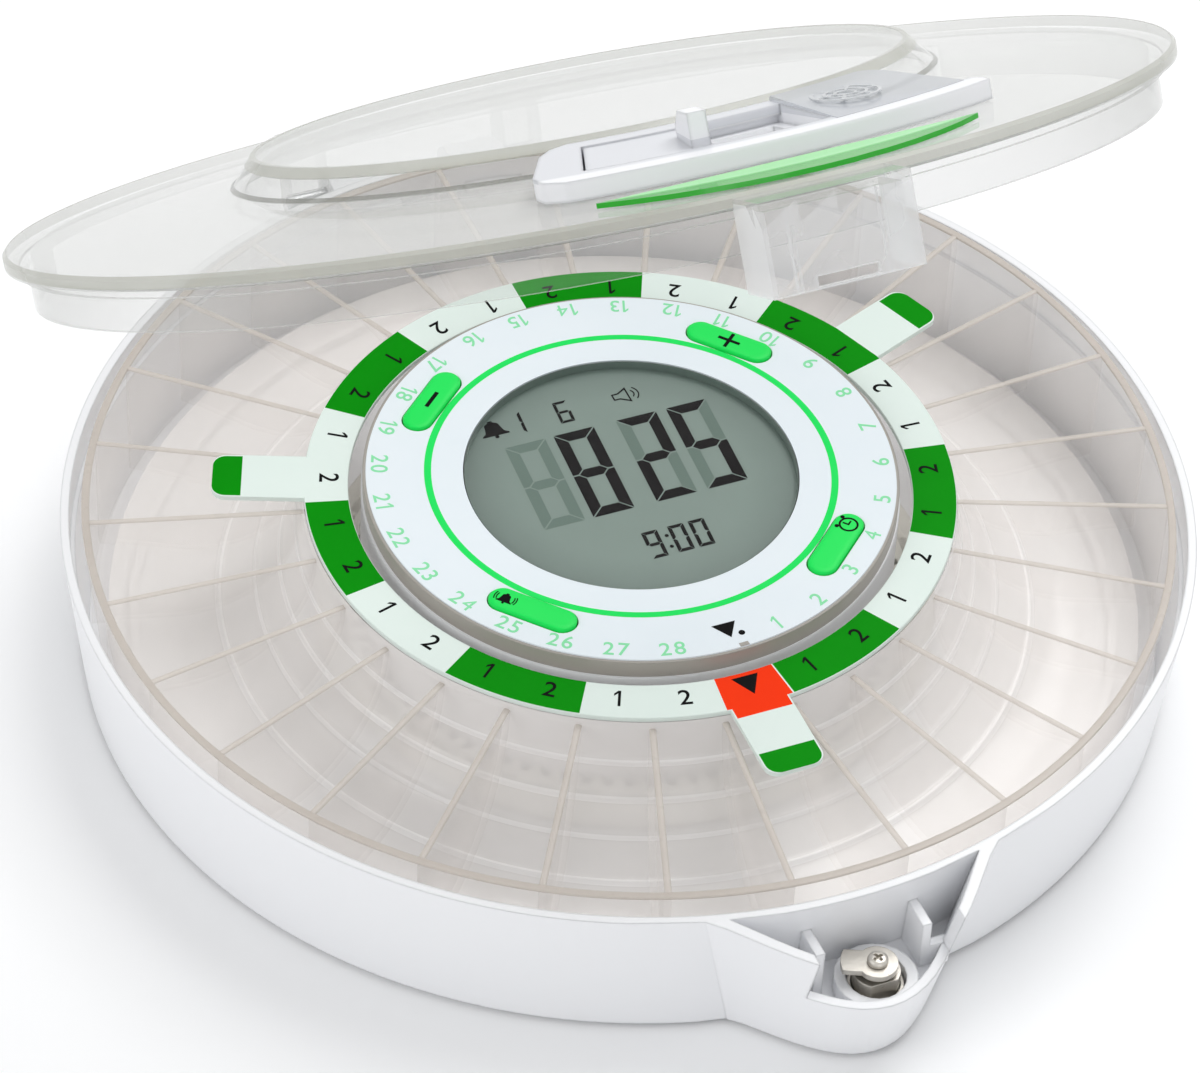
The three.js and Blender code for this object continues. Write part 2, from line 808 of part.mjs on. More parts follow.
function batteryDoor() {
  const earPlace = bayInnerY + doorEarOut;
  const plate = doorOutlineSolid(fitGap, baseBottom, coverTop);
  const seat = moved(
    disc(screwHead + fitGap, baseBottom - overrun, baseBottom + screwHeadHeight, smallSides),
    0,
    earPlace,
  );
  const earHole = disc(screwRadius + fitGap, baseBottom - overrun, coverTop + overrun, tinySides);
  const hole = moved(earHole, 0, earPlace);
  return cut(plate, [seat, hole]);
}

// Screw standing upright with its head down at the given height
function upwardScrew(bottom, headRadius, headHeight, shankRadius, length) {
  return revolve(
    [
      [0, bottom],
      [headRadius, bottom],
      [headRadius, bottom + headHeight],
      [shankRadius, bottom + headHeight],
      [shankRadius, bottom + length],
      [0, bottom + length],
    ],
    tinySides,
  );
}

function crossRecess(headRadius, bottom, top) {
  const reach = headRadius - recessWidth;
  const half = recessWidth / 2;
  return [box(-reach, reach, -half, half, bottom, top), box(-half, half, -reach, reach, bottom, top)];
}

function cellPlace(index) {
  return (index - (batteryCount - 1) / 2) * cellPitch;
}

// Cell lying along X; odd and even cells face opposite ways
function batteryCell(index) {
  const facing = index % 2 === 0 ? 1 : -1;
  const half = cellLength / 2;
  const points = [
    [0, -half],
    [cellRadius, -half],
    [cellRadius, half - cellNubLength],
    [cellNub, half - cellNubLength],
    [cellNub, half],
    [0, half],
  ];
  return revolve(points, smallSides).rotate([0, facing * 90, 0]).translate([0, cellPlace(index), cellAxis]);
}

// Flat two-core lead from the bay's roof up to the board
function batteryLead() {
  const half = leadThickness / 2;
  return box(-leadPlace, leadWidth - leadPlace, -half, half, bayRoofUnder + bayRoof, boardBottom);
}

// One contact plate at an end of the bay, serving the cells from first to last, with a spring or nub on each
function contactPlate(side, first, last) {
  const face = side * (bayInnerX - contactThickness / 2);
  const [y0, y1] = [cellPlace(first) - contactWidth / 2, cellPlace(last) + contactWidth / 2];
  const plate = box(
    face - contactThickness / 2,
    face + contactThickness / 2,
    y0,
    y1,
    cellAxis - contactWidth / 2,
    cellAxis + contactWidth / 2,
  );
  const presses = [];
  for (let index = first; index <= last; index += 1) {
    const reach = contactRoom - contactThickness - runGap;
    const press = revolve(
      [
        [0, -contactThickness / 2],
        [springRadius, -contactThickness / 2],
        [springTip, reach],
        [0, reach],
      ],
      tinySides,
    );
    const place = side * (bayInnerX - contactThickness);
    presses.push(press.rotate([0, -side * 90, 0]).translate([place, cellPlace(index), cellAxis]));
  }
  return join([plate, ...presses]);
}

// Lock

function lockBarrel() {
  const round = revolve(
    [
      [barrelBore, barrelBottom],
      [barrelHeadRadius, barrelBottom],
      [barrelHeadRadius, barrelBottom + barrelHeadThickness],
      [barrelRadius, barrelBottom + barrelHeadThickness],
      [barrelRadius, barrelTop],
      [barrelBore, barrelTop],
    ],
    lockSides,
  );
  return round.intersect(betweenFlats(0, barrelBottom, barrelTop));
}

// Slab between the two flats that keep the barrel from turning
function betweenFlats(gap, bottom, top) {
  const flat = barrelFlat + gap;
  return box(-barrelHeadRadius, barrelHeadRadius, -flat, flat, bottom - overrun, top + overrun);
}

function lockNut() {
  const top = bayFloorTop + nutThickness;
  return tube(barrelRadius + fitGap, nutRadius, bayFloorTop, top, lockSides);
}

function lockPlug() {
  const bottom = barrelBottom + plugSink;
  const core = disc(barrelBore - runGap, bottom, camBottom, lockSides);
  const keySlot = box(
    -keySlotLength / 2,
    keySlotLength / 2,
    -keySlotWidth / 2,
    keySlotWidth / 2,
    bottom - overrun,
    bottom + keySlotDepth,
  );
  const screwHole = disc(
    camScrewRadius + fitGap,
    camBottom - camScrewLength - overrun,
    camBottom + overrun,
    tinySides,
  );
  return cut(core, [keySlot, screwHole]);
}

function lockCam() {
  const lobeStart = -camLobeWidth / 2;
  const lobe = prism(
    roundedRectangle(camReach + lobeStart + camRadius, camLobeWidth, camLobeCorner, camReach / 2, 0),
    camBottom,
    camBottom + camThickness,
  );
  const top = camBottom + camThickness;
  const plate = disc(camRadius, camBottom, top, lockSides).add(lobe.intersect(disc(camReach, camBottom, top)));
  const hole = disc(camHoleRadius, camBottom - overrun, camBottom + camThickness + overrun, tinySides);
  return turned(plate.subtract(hole), camRestAngle);
}

function camScrew() {
  const seat = camBottom + camThickness;
  const body = revolve(
    [
      [0, seat - camThickness - camScrewLength],
      [camScrewRadius, seat - camThickness - camScrewLength],
      [camScrewRadius, seat],
      [camScrewHead, seat],
      [camScrewHead, seat + camScrewHeadHeight / 2],
      [camScrewCrown, seat + camScrewHeadHeight],
      [0, seat + camScrewHeadHeight],
    ],
    tinySides,
  );
  const top = seat + camScrewHeadHeight;
  return cut(body, crossRecess(camScrewCrown, top - recessDepth, top + overrun));
}

// Turntable and drive

// Involute tooth outline points of one gear, with the tooth thickness cut back by the backlash
function gearOutline(teeth, inner, outer, internal) {
  const pitchRadius = (gearModule * teeth) / 2;
  const baseCircle = pitchRadius * Math.cos(radians(pressureAngle));
  const involute = (radius) => {
    const ratio = Math.max(1, radius / baseCircle);
    const angle = Math.acos(1 / ratio);
    return Math.tan(angle) - angle;
  };
  const thinner = toothBacklash / 2 / pitchRadius;
  const halfTooth = Math.PI / (2 * teeth) + (internal ? thinner : -thinner) + involute(pitchRadius);
  const radii = [inner, outer];
  const points = [];
  for (let tooth = 0; tooth < teeth; tooth += 1) {
    const middle = (2 * Math.PI * tooth) / teeth;
    const flank = radii.map((radius) => [radius, halfTooth - involute(radius)]);
    const rising = flank.map(([radius, half]) => [radius, middle - half]);
    const falling = flank.map(([radius, half]) => [radius, middle + half]).reverse();
    points.push(...rising, ...falling);
  }
  return points.map(([radius, angle]) => [radius * Math.cos(angle), radius * Math.sin(angle)]);
}

function drivePinion() {
  const outline = gearOutline(
    pinionTeeth,
    pinionPitchRadius - toothDedendum,
    pinionPitchRadius + toothAddendum,
    false,
  );
  const bottom = turntableBottom + runGap;
  const gear = prism(outline, bottom, bottom + pinionHeight);
  return moved(gear.subtract(disc(shaftRadius, bottom - overrun, bottom + pinionHeight + overrun, tinySides)),
    driveDistance, 0);
}

function motorShaft() {
  const bottom = turntableBottom + runGap;
  return moved(disc(shaftRadius - fitGap / 2, bottom, bottom + shaftLength, tinySides), driveDistance, 0);
}

function turntable() {
  const blank = disc(turntableOuter, turntableBottom, turntableTop);
  const toothSpace = gearOutline(
    ringTeeth,
    ringPitchRadius - toothAddendum,
    ringPitchRadius + toothDedendum,
    true,
  );
  const bore = prism(toothSpace, turntableBottom - overrun, turntableTop + overrun);
  const lugs = driveLugAngles.map((angle) =>
    sector(
      [
        [collarRadius, turntableTop - overrun],
        [collarRadius + collarWall, turntableTop - overrun],
        [collarRadius + collarWall, turntableTop + driveLugHeight],
        [collarRadius, turntableTop + driveLugHeight],
      ],
      angle - driveLugSpan / 2,
      angle + driveLugSpan / 2,
    ),
  );
  return join([blank.subtract(bore), ...lugs]);
}

function driveGearbox() {
  const bottom = floorTop + bracketRise + bracketThickness;
  const block = box(
    driveDistance - gearboxWidth / 2,
    driveDistance + gearboxWidth / 2,
    -gearboxSpan / 2,
    gearboxSpan / 2,
    bottom,
    bottom + gearboxHeight,
  );
  const bore = moved(
    disc(shaftRadius + fitGap, bottom - overrun, turntableBottom + shaftLength + overrun, tinySides),
    driveDistance,
    0,
  );
  return block.subtract(bore);
}

function driveMotor() {
  const bottom = floorTop + bracketRise + bracketThickness + gearboxHeight;
  const can = disc(motorRadius, bottom, bottom + motorHeight, smallSides);
  const pinTop = boardBottom - fitGap;
  const pins = [-1, 1].map((side) =>
    moved(disc(contactThickness, bottom + motorHeight - overrun, pinTop, tinySides), 0, side * motorRadius / 2),
  );
  return moved(join([can, ...pins]), driveDistance, 0);
}

function motorBracket() {
  const bottom = floorTop + bracketRise;
  const plate = box(
    driveDistance - bracketWidth / 2,
    driveDistance + bracketWidth / 2,
    -bracketSpan / 2,
    bracketSpan / 2,
    bottom,
    bottom + bracketThickness,
  );
  const limit = disc(podInner - runGap, bottom - overrun, bottom + bracketThickness + overrun);
  const hole = moved(
    disc(shaftRadius + runGap, bottom - overrun, bottom + bracketThickness + overrun, tinySides),
    driveDistance,
    0,
  );
  return plate.intersect(limit).subtract(hole);
}

function homeSwitch() {
  const outer = -podInner + runGap * 2;
  const half = switchWidth / 2;
  const body = box(outer, outer + switchDepth, -half, half, floorTop, floorTop + switchHeight);
  const leverBottom = turntableBottom + turntableHeight / 2 - leverThickness;
  const lever = box(
    outer - leverReach + runGap,
    outer + overrun,
    -leverWidth / 2,
    leverWidth / 2,
    leverBottom,
    leverBottom + leverThickness,
  );
  return body.add(lever);
}

// Tray

// Quarter ellipse of the cell's inner wall, pushed out by an offset
function sweepPoints(offset, firstStep) {
  const centre = sweepStart + sweepReach;
  const depth = trayTop - trayFloorBottom - trayFloor;
  const points = [];
  for (let step = firstStep; step <= sweepSteps; step += 1) {
    const turn = (Math.PI * step) / (2 * sweepSteps);
    points.push([
      centre - (sweepReach + offset) * Math.cos(turn),
      trayTop - (depth + offset) * Math.sin(turn),
    ]);
  }
  return points;
}

function tray() {
  const outerFoot = [trayFootRadius - trayFoot, trayFloorBottom];
  const deckUnder = deckTop - deckThickness;
  const skin = sweepPoints(0, 0);
  const underside = sweepPoints(trayFloor, 1).reverse();
  const shell = revolve(
    [
      [collarRadius, turntableTop],
      [collarRadius, deckTop],
      [ringOuter + fitGap, deckTop],
      ...skin,
      [trayFootRadius - trayWall - trayFoot / 2, trayFloorBottom + trayFloor],
      [trayRadius - trayWall, trayTop],
      [trayRadius, trayTop],
      [trayFootRadius, trayFloorBottom + trayFoot],
      outerFoot,
      ...underside,
      [ringOuter - trayFloor, deckUnder],
      [collarRadius + collarWall, deckUnder],
      [collarRadius + collarWall, turntableTop],
    ],
    traySides,
    pitchAngle / 2,
  );
  const middleFloor = trayFloorBottom + trayFloor / 2;
  const dividerOutline = [
    [trayRadius - trayWall / 2, trayTop],
    [trayFootRadius - trayWall / 2, trayFloorBottom + trayFoot + trayFloor / 2],
    [trayFootRadius - trayFoot - trayWall / 2, middleFloor],
    ...sweepPoints(trayFloor / 2, 1).reverse(),
    [ringOuter - trayFloor / 2, trayTop],
  ];
  const dividers = Array.from({ length: cellCount }, (_, i) =>
    radialPlate(dividerOutline, dividerThickness, (i + 0.5) * pitchAngle),
  );
  const lugRoom = driveLugAngles.map((angle) =>
    sector(
      [
        [collarRadius - overrun, turntableTop - overrun],
        [collarRadius + collarWall + overrun, turntableTop - overrun],
        [collarRadius + collarWall + overrun, turntableTop + driveLugHeight + runGap],
        [collarRadius - overrun, turntableTop + driveLugHeight + runGap],
      ],
      angle - driveLugSpan / 2 - driveLugPlay,
      angle + driveLugSpan / 2 + driveLugPlay,
    ),
  );
  return cut(join([shell, ...dividers]), lugRoom);
}

function dosageRing() {
  const band = tube(ringInner, ringOuter, deckTop, deckTop + ringThickness, traySides, pitchAngle / 2);
  const start = ringOuter - overrun;
  const tab = prism(
    roundedRectangle(tabWidth, tabLength + overrun, tabCorner, 0, -start - (tabLength + overrun) / 2),
    deckTop,
    deckTop + ringThickness,
  );
  const half = tabWidth / 2;
  const root = box(-half, half, -start - tabCorner * 2, -start, deckTop, deckTop + ringThickness);
  const tabs = [-tabStep, 0, tabStep].map((step) => turned(tab.add(root), step * pitchAngle));
  return join([band, ...tabs]);
}

// Display pod

// Straight-sided capsule outline lying across the radius at a key's place
function keyOutline(grow) {
  const [length, width] = [keyLength + grow * 2, keyWidth + grow * 2];
  return roundedRectangle(length, width, width / 2 - weld, 0, -keyRing);
}

function keyShape(angle, grow, bottom, top) {
  return turned(prism(keyOutline(grow), bottom, top), angle);
}

function displayCap() {
  const shell = revolve(
    [
      [0, capUnder],
      [capRadius - capSkirt, capUnder],
      [capRadius - capSkirt, podTop],
      [capRadius, podTop],
      [capRadius, capTop],
      [0, capTop],
    ],
    podSides,
  );
  const post = disc(capPostRadius, boardTop, capTop - overrun, smallSides);
  const pilotTop = boardTop + boardScrewLength - boardThickness + fitGap;
  const pilot = disc(boardScrewRadius + fitGap, boardTop - overrun, pilotTop, tinySides);
  const posts = postPlaces().map(([x, y]) => moved(post, x, y));
  const pilots = postPlaces().map(([x, y]) => moved(pilot, x, y));
  const window = disc(windowRadius + fitGap, capUnder - overrun, capTop + overrun, podSides);
  const keyHoles = Object.values(keyAngles).map((angle) =>
    keyShape(angle, runGap, capUnder - overrun, capTop + overrun),
  );
  return cut(join([shell, ...posts]), [...pilots, window, ...keyHoles]);
}

function postPlaces() {
  return capPostAngles.map((angle) => polar(keyRing, angle));
}

function faceSheet() {
  const sheet = disc(faceRadius, capTop, faceTop, podSides);
  const window = disc(windowRadius + fitGap, capTop - overrun, faceTop + overrun, podSides);
  const keyHoles = Object.values(keyAngles).map((angle) =>
    keyShape(angle, runGap, capTop - overrun, faceTop + overrun),
  );
  return cut(sheet, [window, ...keyHoles]);
}

function pressKey(angle) {
  const flangeTopPlace = capUnder - runGap;
  const head = keyShape(angle, 0, flangeTopPlace - keyFlangeThickness, faceTop + keyProud);
  const flange = keyShape(angle, keyFlange, flangeTopPlace - keyFlangeThickness, flangeTopPlace);
  return head.add(flange);
}

function keySwitch(angle) {
  const [x, y] = polar(keyRing, angle);
  const half = keySwitchSize / 2;
  const top = capUnder - runGap - keyFlangeThickness - keySwitchClear;
  return moved(turned(box(-half, half, -half, half, boardTop, top), angle), x, y);
}

function mainBoard() {
  const board = disc(boardRadius, boardBottom, boardTop, podSides);
  const holes = postPlaces().map(([x, y]) =>
    moved(disc(boardScrewRadius + fitGap, boardBottom - overrun, boardTop + overrun, tinySides), x, y),
  );
  return cut(board, holes);
}

// Lid

function lidShell() {
  const domeTop = flangeTop + domeRise;
  const flangeBottom = flangeTop - flangeThickness;
  const skirtInner = skirtRadius - skirtWall;
  const stepBottom = rimTop + runGap;
  const body = revolve([
    [0, domeTop],
    [domeRadius, domeTop],
    [domeFootRadius, flangeTop + annulusRise],
    [flangeRadius - flangeThickness / 4, coneTopAt(flangeRadius)],
    [flangeRadius, flangeTop - flangeThickness / 4],
    [flangeRadius, flangeBottom],
    [stepRadius, flangeBottom],
    [stepRadius, stepBottom],
    [skirtInner, stepBottom],
    [skirtInner, coneTopAt(skirtInner) - lidWall],
    [domeFootRadius - lidWall / 2, coneTopAt(domeFootRadius) - lidWall],
    [domeRadius - lidWall, domeTop - lidWall],
    [0, domeTop - lidWall],
  ]);
  const skirt = sector(
    [
      [skirtInner, flangeTop - skirtDrop],
      [skirtRadius, flangeTop - skirtDrop],
      [skirtRadius, stepBottom + overrun],
      [skirtInner, stepBottom + overrun],
    ],
    -skirtHalfAngle,
    skirtHalfAngle,
  );
  return body.add(skirt);
}

// Box under the front of the lid that drops into the lock bay and takes the cam's lobe
function latchBox() {
  const [x0, x1] = [lockOffset - latchHalfWidth, lockOffset + latchHalfWidth];
  const bottom = flangeTop - latchDepth;
  const back = -rimRadius - runGap * 2;
  const wallTop = flangeTop - flangeThickness / 2;
  const plateTop = flangeTop - flangeThickness / 4;
  const topPlate = box(x0, x1, -latchReach, -skirtRadius, flangeTop - flangeThickness, plateTop);
  const front = box(x0, x1, -latchReach, -latchReach + latchWall, bottom, wallTop);
  const walls = [x0, x1 - latchWall].map((x) => box(x, x + latchWall, -latchReach, back, bottom, wallTop));
  const ribs = [-1, 1].map((side) => {
    const middle = lockOffset + side * latchRibSpread;
    return box(
      middle - latchRibThickness / 2,
      middle + latchRibThickness / 2,
      -latchReach + latchWall / 2,
      -latchReach + latchWall + latchRibDepth,
      bottom,
      wallTop,
    );
  });
  const slot = box(
    lockOffset - latchSlotHalf,
    lockOffset + latchSlotHalf,
    -latchReach - overrun,
    -latchReach + latchWall + overrun,
    bottom + latchSlotRise,
    bottom + latchSlotRise + latchSlotHeight,
  );
  return join([topPlate, front, ...walls, ...ribs]).subtract(slot);
}

function lidArm(side) {
  const [inner, outer] = [knuckleOuter + turnedGap, knuckleOuter + turnedGap + armWidth];
  const edges = side > 0 ? [inner, outer] : [-outer, -inner];
  const barrel = Array.from({ length: smallSides / 2 + 1 }, (_, i) => {
    const turn = -(Math.PI * i) / (smallSides / 2);
    return [hingeDistance + knuckleRadius * Math.cos(turn), hingeHeight + knuckleRadius * Math.sin(turn)];
  });
  const flangeBottom = flangeTop - flangeThickness;
  const outline = [
    [skirtRadius, flangeTop - flangeThickness / 4],
    [armTopReach, flangeTop - flangeThickness / 4],
    ...barrel,
    [flangeRadius, rimTop + runGap],
    [stepRadius, rimTop + runGap],
    [skirtRadius, flangeBottom],
  ];
  return sidePlate(outline, ...edges);
}

function lid() {
  const dispenseHole = sector(
    [
      [dispenseInner - turnedGap, flangeTop - lidWall * 2],
      [dispenseOuter + turnedGap, flangeTop - lidWall * 2],
      [dispenseOuter + turnedGap, flangeTop + domeRise],
      [dispenseInner - turnedGap, flangeTop + domeRise],
    ],
    dispenseStart - turnedGapDegrees(),
    dispenseEnd + turnedGapDegrees(),
  );
  const joined = join([lidShell(), latchBox(), lidArm(-1), lidArm(1)]);
  const pinHole = hingeRod(pinRadius + turnedGap, knuckleOuter + turnedGap + armWidth + overrun);
  return cut(joined, [dispenseHole, pinHole]);
}

function turnedGapDegrees() {
  return (turnedGap / dispenseInner) * (180 / Math.PI);
}

// Heights above the table of the frame's underside and top at a radius
function frameUnderAt(radius) {
  return coneTopAt(radius) + turnedGap;
}

function frameTopAt(radius) {
  const share = (frameOuter - radius) / (frameOuter - frameInner);
  return frameUnderAt(radius) + frameOuterHeight + (frameInnerHeight - frameOuterHeight) * share;
}

// Crescent seen from above: full depth and round on the left, drawn to a narrow tip on the right
function framePlan() {
  const cornerDegrees = (frameCorner / frameOuter) * (180 / Math.PI);
  const cornerStepDegrees = (frameCornerStep / frameOuter) * (180 / Math.PI);
  const points = arcPoints(frameOuter, frameStart + cornerDegrees, frameEnd, frameSteps);
  points.push(polar(frameOuter - frameTip / 2, frameEnd + cornerStepDegrees / 2));
  points.push(polar(frameOuter - frameTip, frameEnd));
  const taper = new THREE.QuadraticBezierCurve(
    new THREE.Vector2(...polar(frameOuter - frameTip, frameEnd)),
    new THREE.Vector2(...polar(frameOuter - frameTip, frameTaperAngle + cornerDegrees)),
    new THREE.Vector2(...polar(frameInner, frameTaperAngle)),
  );
  points.push(...taper.getPoints(frameSteps / 2).slice(1).map((point) => [point.x, point.y]));
  points.push(...arcPoints(frameInner, frameTaperAngle, frameStart + cornerDegrees, frameSteps).slice(1));
  points.push(polar(frameInner + frameCornerStep, frameStart + cornerStepDegrees));
  points.push(polar(frameInner + frameCorner, frameStart));
  points.push(polar(frameOuter - frameCorner, frameStart));
  points.push(polar(frameOuter - frameCornerStep, frameStart + cornerStepDegrees));
  return points;
}

function dispenseFrame() {
  const band = revolve([
    [frameInner - overrun, frameUnderAt(frameInner - overrun)],
    [frameOuter + overrun, frameUnderAt(frameOuter + overrun)],
    [frameOuter + overrun, frameTopAt(frameOuter + overrun)],
    [frameInner - overrun, frameTopAt(frameInner - overrun)],
  ]);
  const body = band.intersect(prism(framePlan(), flangeTop, flangeTop + domeRise * 2));
  const spigot = sector(
    [
      [dispenseInner, frameUnderAt(dispenseInner) - spigotDepth],
      [dispenseOuter, frameUnderAt(dispenseOuter) - spigotDepth],
      [dispenseOuter, frameUnderAt(dispenseOuter) + frameFloor],
      [dispenseInner, frameUnderAt(dispenseInner) + frameFloor],
    ],
    dispenseStart,
    dispenseEnd,
  );
  const wallDegrees = (spigotWall / dispenseInner) * (180 / Math.PI);
  const passage = sector(
    [
      [dispenseInner + spigotWall, flangeTop - lidWall * 2],
      [dispenseOuter - spigotWall, flangeTop - lidWall * 2],
      [dispenseOuter - spigotWall, flangeTop + domeRise * 2],
      [dispenseInner + spigotWall, flangeTop + domeRise * 2],
    ],
    dispenseStart + wallDegrees,
    dispenseEnd - wallDegrees,
  );
  const gapDegrees = (turnedGap / gateInner) * (180 / Math.PI);
  const [start, end] = [gateStart - gapDegrees, gateEnd + gateTravel + gapDegrees];
  const groove = gateBand(turnedGap, frameFloor, frameFloor + gateFlange + turnedGap * 2);
  const channel = sector(groove, start, end);
  const mouth = sector(
    [
      [gateInner + gateLip - turnedGap, frameUnderAt(gateInner) + frameFloor],
      [gateOuter - gateLip + turnedGap, frameUnderAt(gateOuter) + frameFloor],
      [gateOuter - gateLip + turnedGap, flangeTop + domeRise * 2],
      [gateInner + gateLip - turnedGap, flangeTop + domeRise * 2],
    ],
    start,
    end,
  );
  return cut(body.add(spigot), [passage, channel, mouth]);
}

// Outline of the gate's flange, grown by a gap, between two heights above the frame's underside
function gateBand(gap, low, high) {
  const [inner, outer] = [gateInner - gap, gateOuter + gap];
  return [
    [inner, frameUnderAt(inner) + low],
    [outer, frameUnderAt(outer) + low],
    [outer, frameUnderAt(outer) + high],
    [inner, frameUnderAt(inner) + high],
  ];
}

function dispenseGate() {
  const low = frameFloor + turnedGap;
  const flange = sector(gateBand(0, low, low + gateFlange), gateStart, gateEnd);
  const [inner, outer] = [gateInner + gateLip, gateOuter - gateLip];
  const plate = sector(
    [
      [inner, frameUnderAt(inner) + low],
      [outer, frameUnderAt(outer) + low],
      [outer, frameTopAt(outer) - fitGap],
      [inner, frameTopAt(inner) - fitGap],
    ],
    gateStart,
    gateEnd,
  );
  const knobDegrees = gateEnd - ((knobWidth / 2 + fitGap) / knobInner) * (180 / Math.PI);
  const knobOutline = [
    [knobInner, frameUnderAt(knobInner) + low + gateFlange / 2],
    [knobOuter - gateLip, frameUnderAt(knobOuter) + low + gateFlange / 2],
    [knobOuter - gateLip, frameTopAt(knobOuter) + knobRise],
    [knobInner + knobRise / 2, frameTopAt(knobOuter) + knobRise],
    [knobInner, frameTopAt(knobInner) + knobRise / 3],
  ];
  return join([flange, plate, radialPlate(knobOutline, knobWidth, knobDegrees)]);
}

function frontTrim() {
  const count = trimSteps;
  const edge = (bulge) =>
    Array.from({ length: count + 1 }, (_, i) => {
      const share = (2 * i) / count - 1;
      return polar(trimTipRadius + bulge * (1 - share * share), trimMiddle + share * trimHalfAngle);
    });
  const outline = [...edge(trimBulge), ...edge(-trimHollow).reverse().slice(1, -1)];
  const [inner, outer] = [trimTipRadius - trimHollow * 2, flangeRadius];
  const band = revolve([
    [inner, coneTopAt(inner) + turnedGap],
    [outer, coneTopAt(outer) + turnedGap],
    [outer, coneTopAt(outer) + turnedGap + trimThickness],
    [inner, coneTopAt(inner) + turnedGap + trimThickness],
  ]);
  return band.intersect(prism(outline, flangeTop - overrun, flangeTop + domeRise));
}

// Assembly

const pillBox = new THREE.Group();

function add(name, solid, finish, group = pillBox) {
  const mesh = piece(name, solid, finish);
  group.add(mesh);
  return mesh;
}

add('base_shell', baseShell(), 'whiteShell');
add('bottom_cover', bottomCover(), 'whiteShell');
add('battery_door', batteryDoor(), 'whiteShell');
const doorScrew = upwardScrew(baseBottom, screwHead, screwHeadHeight - fitGap, screwRadius, screwLength);
add('door_screw', moved(doorScrew, 0, bayInnerY + doorEarOut), 'steel');
coverScrewAngles.forEach((angle, i) => {
  const screw = upwardScrew(baseBottom, screwHead, screwHeadHeight - fitGap, screwRadius, screwLength);
  add(`cover_screw_${i + 1}`, moved(screw, ...polar(coverScrewRing, angle)), 'steel');
});
footPlaces().forEach(([x, y], i) => {
  add(`foot_${i + 1}`, moved(disc(footRadius, 0, footProud, smallSides), x, y), 'rubber');
});

for (let index = 0; index < batteryCount; index += 1) {
  add(`battery_${index + 1}`, batteryCell(index), 'battery');
}
add('contact_plus', contactPlate(1, 0, 0), 'nickel');
add('contact_bridge_1', contactPlate(-1, 0, 1), 'nickel');
add('contact_bridge_2', contactPlate(1, 1, 2), 'nickel');
add('contact_bridge_3', contactPlate(-1, 2, 3), 'nickel');
add('contact_minus', contactPlate(1, 3, 3), 'nickel');
add('battery_lead', batteryLead(), 'blackPlastic');

add('display_cap', displayCap(), 'whiteShell');
add('face_sheet', faceSheet(), 'faceSheet');
add('lcd_window', disc(windowRadius, lcdTop, lcdTop + windowThickness, podSides), 'clearPlastic');
add('lcd_glass', disc(lcdRadius, lcdBottom, lcdTop, podSides), 'lcdGrey');
add('lcd_frame', tube(lcdFrameInner, lcdFrameRadius, boardTop, lcdBottom, podSides), 'whiteShell');
add('main_board', mainBoard(), 'circuit');
const buzzerBody = disc(buzzerRadius, boardBottom - buzzerHeight, boardBottom, smallSides);
add('buzzer', moved(buzzerBody, 0, -buzzerPlace), 'blackPlastic');
Object.entries(keyAngles).forEach(([name, angle], i) => {
  add(name, pressKey(angle), 'greenKey');
  add(`key_switch_${i + 1}`, keySwitch(angle), 'blackPlastic');
});
postPlaces().forEach(([x, y], i) => {
  const screw = upwardScrew(
    boardBottom - boardScrewHeadHeight,
    boardScrewHead,
    boardScrewHeadHeight,
    boardScrewRadius,
    boardScrewHeadHeight + boardScrewLength,
  );
  add(`board_screw_${i + 1}`, moved(screw, x, y), 'steel');
});

add('drive_motor', driveMotor(), 'steel');
add('drive_gearbox', driveGearbox(), 'blackPlastic');
add('motor_bracket', motorBracket(), 'steel');
add('home_switch', homeSwitch(), 'blackPlastic');
add('motor_shaft', motorShaft(), 'steel');
add('drive_pinion', drivePinion(), 'pom');
add('turntable', turntable(), 'pom');
add('tray', tray(), 'clearPlastic');
add('dosage_ring', dosageRing(), 'paleLabel');

const lock = new THREE.Group();
lock.position.set(lockOffset, -lockDistance, 0);
add('lock_barrel', lockBarrel(), 'nickel', lock);
add('lock_nut', lockNut(), 'nickel', lock);
add('lock_plug', lockPlug(), 'nickel', lock);
add('lock_cam', lockCam(), 'nickel', lock);
add('cam_screw', camScrew(), 'nickel', lock);
pillBox.add(lock);

add('hinge_pin', hingeRod(pinRadius, knuckleOuter + turnedGap + armWidth), 'steel');

// The lid and what it carries are built closed, and swung open together about the hinge
const lidHinge = new THREE.Group();
lidHinge.position.set(0, hingeDistance, hingeHeight);
lidHinge.rotation.x = radians(-restOpening);
const lidGroup = new THREE.Group();
lidGroup.position.set(0, -hingeDistance, -hingeHeight);
add('lid', lid(), 'clearPlastic', lidGroup);
add('dispense_frame', dispenseFrame(), 'whiteShell', lidGroup);
add('dispense_gate', dispenseGate(), 'whiteShell', lidGroup);
add('front_trim', frontTrim(), 'greenPrint', lidGroup);
lidHinge.add(lidGroup);
pillBox.add(lidHinge);

export default pillBox;
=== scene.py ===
import bpy
import numpy as np
from mathutils import Matrix


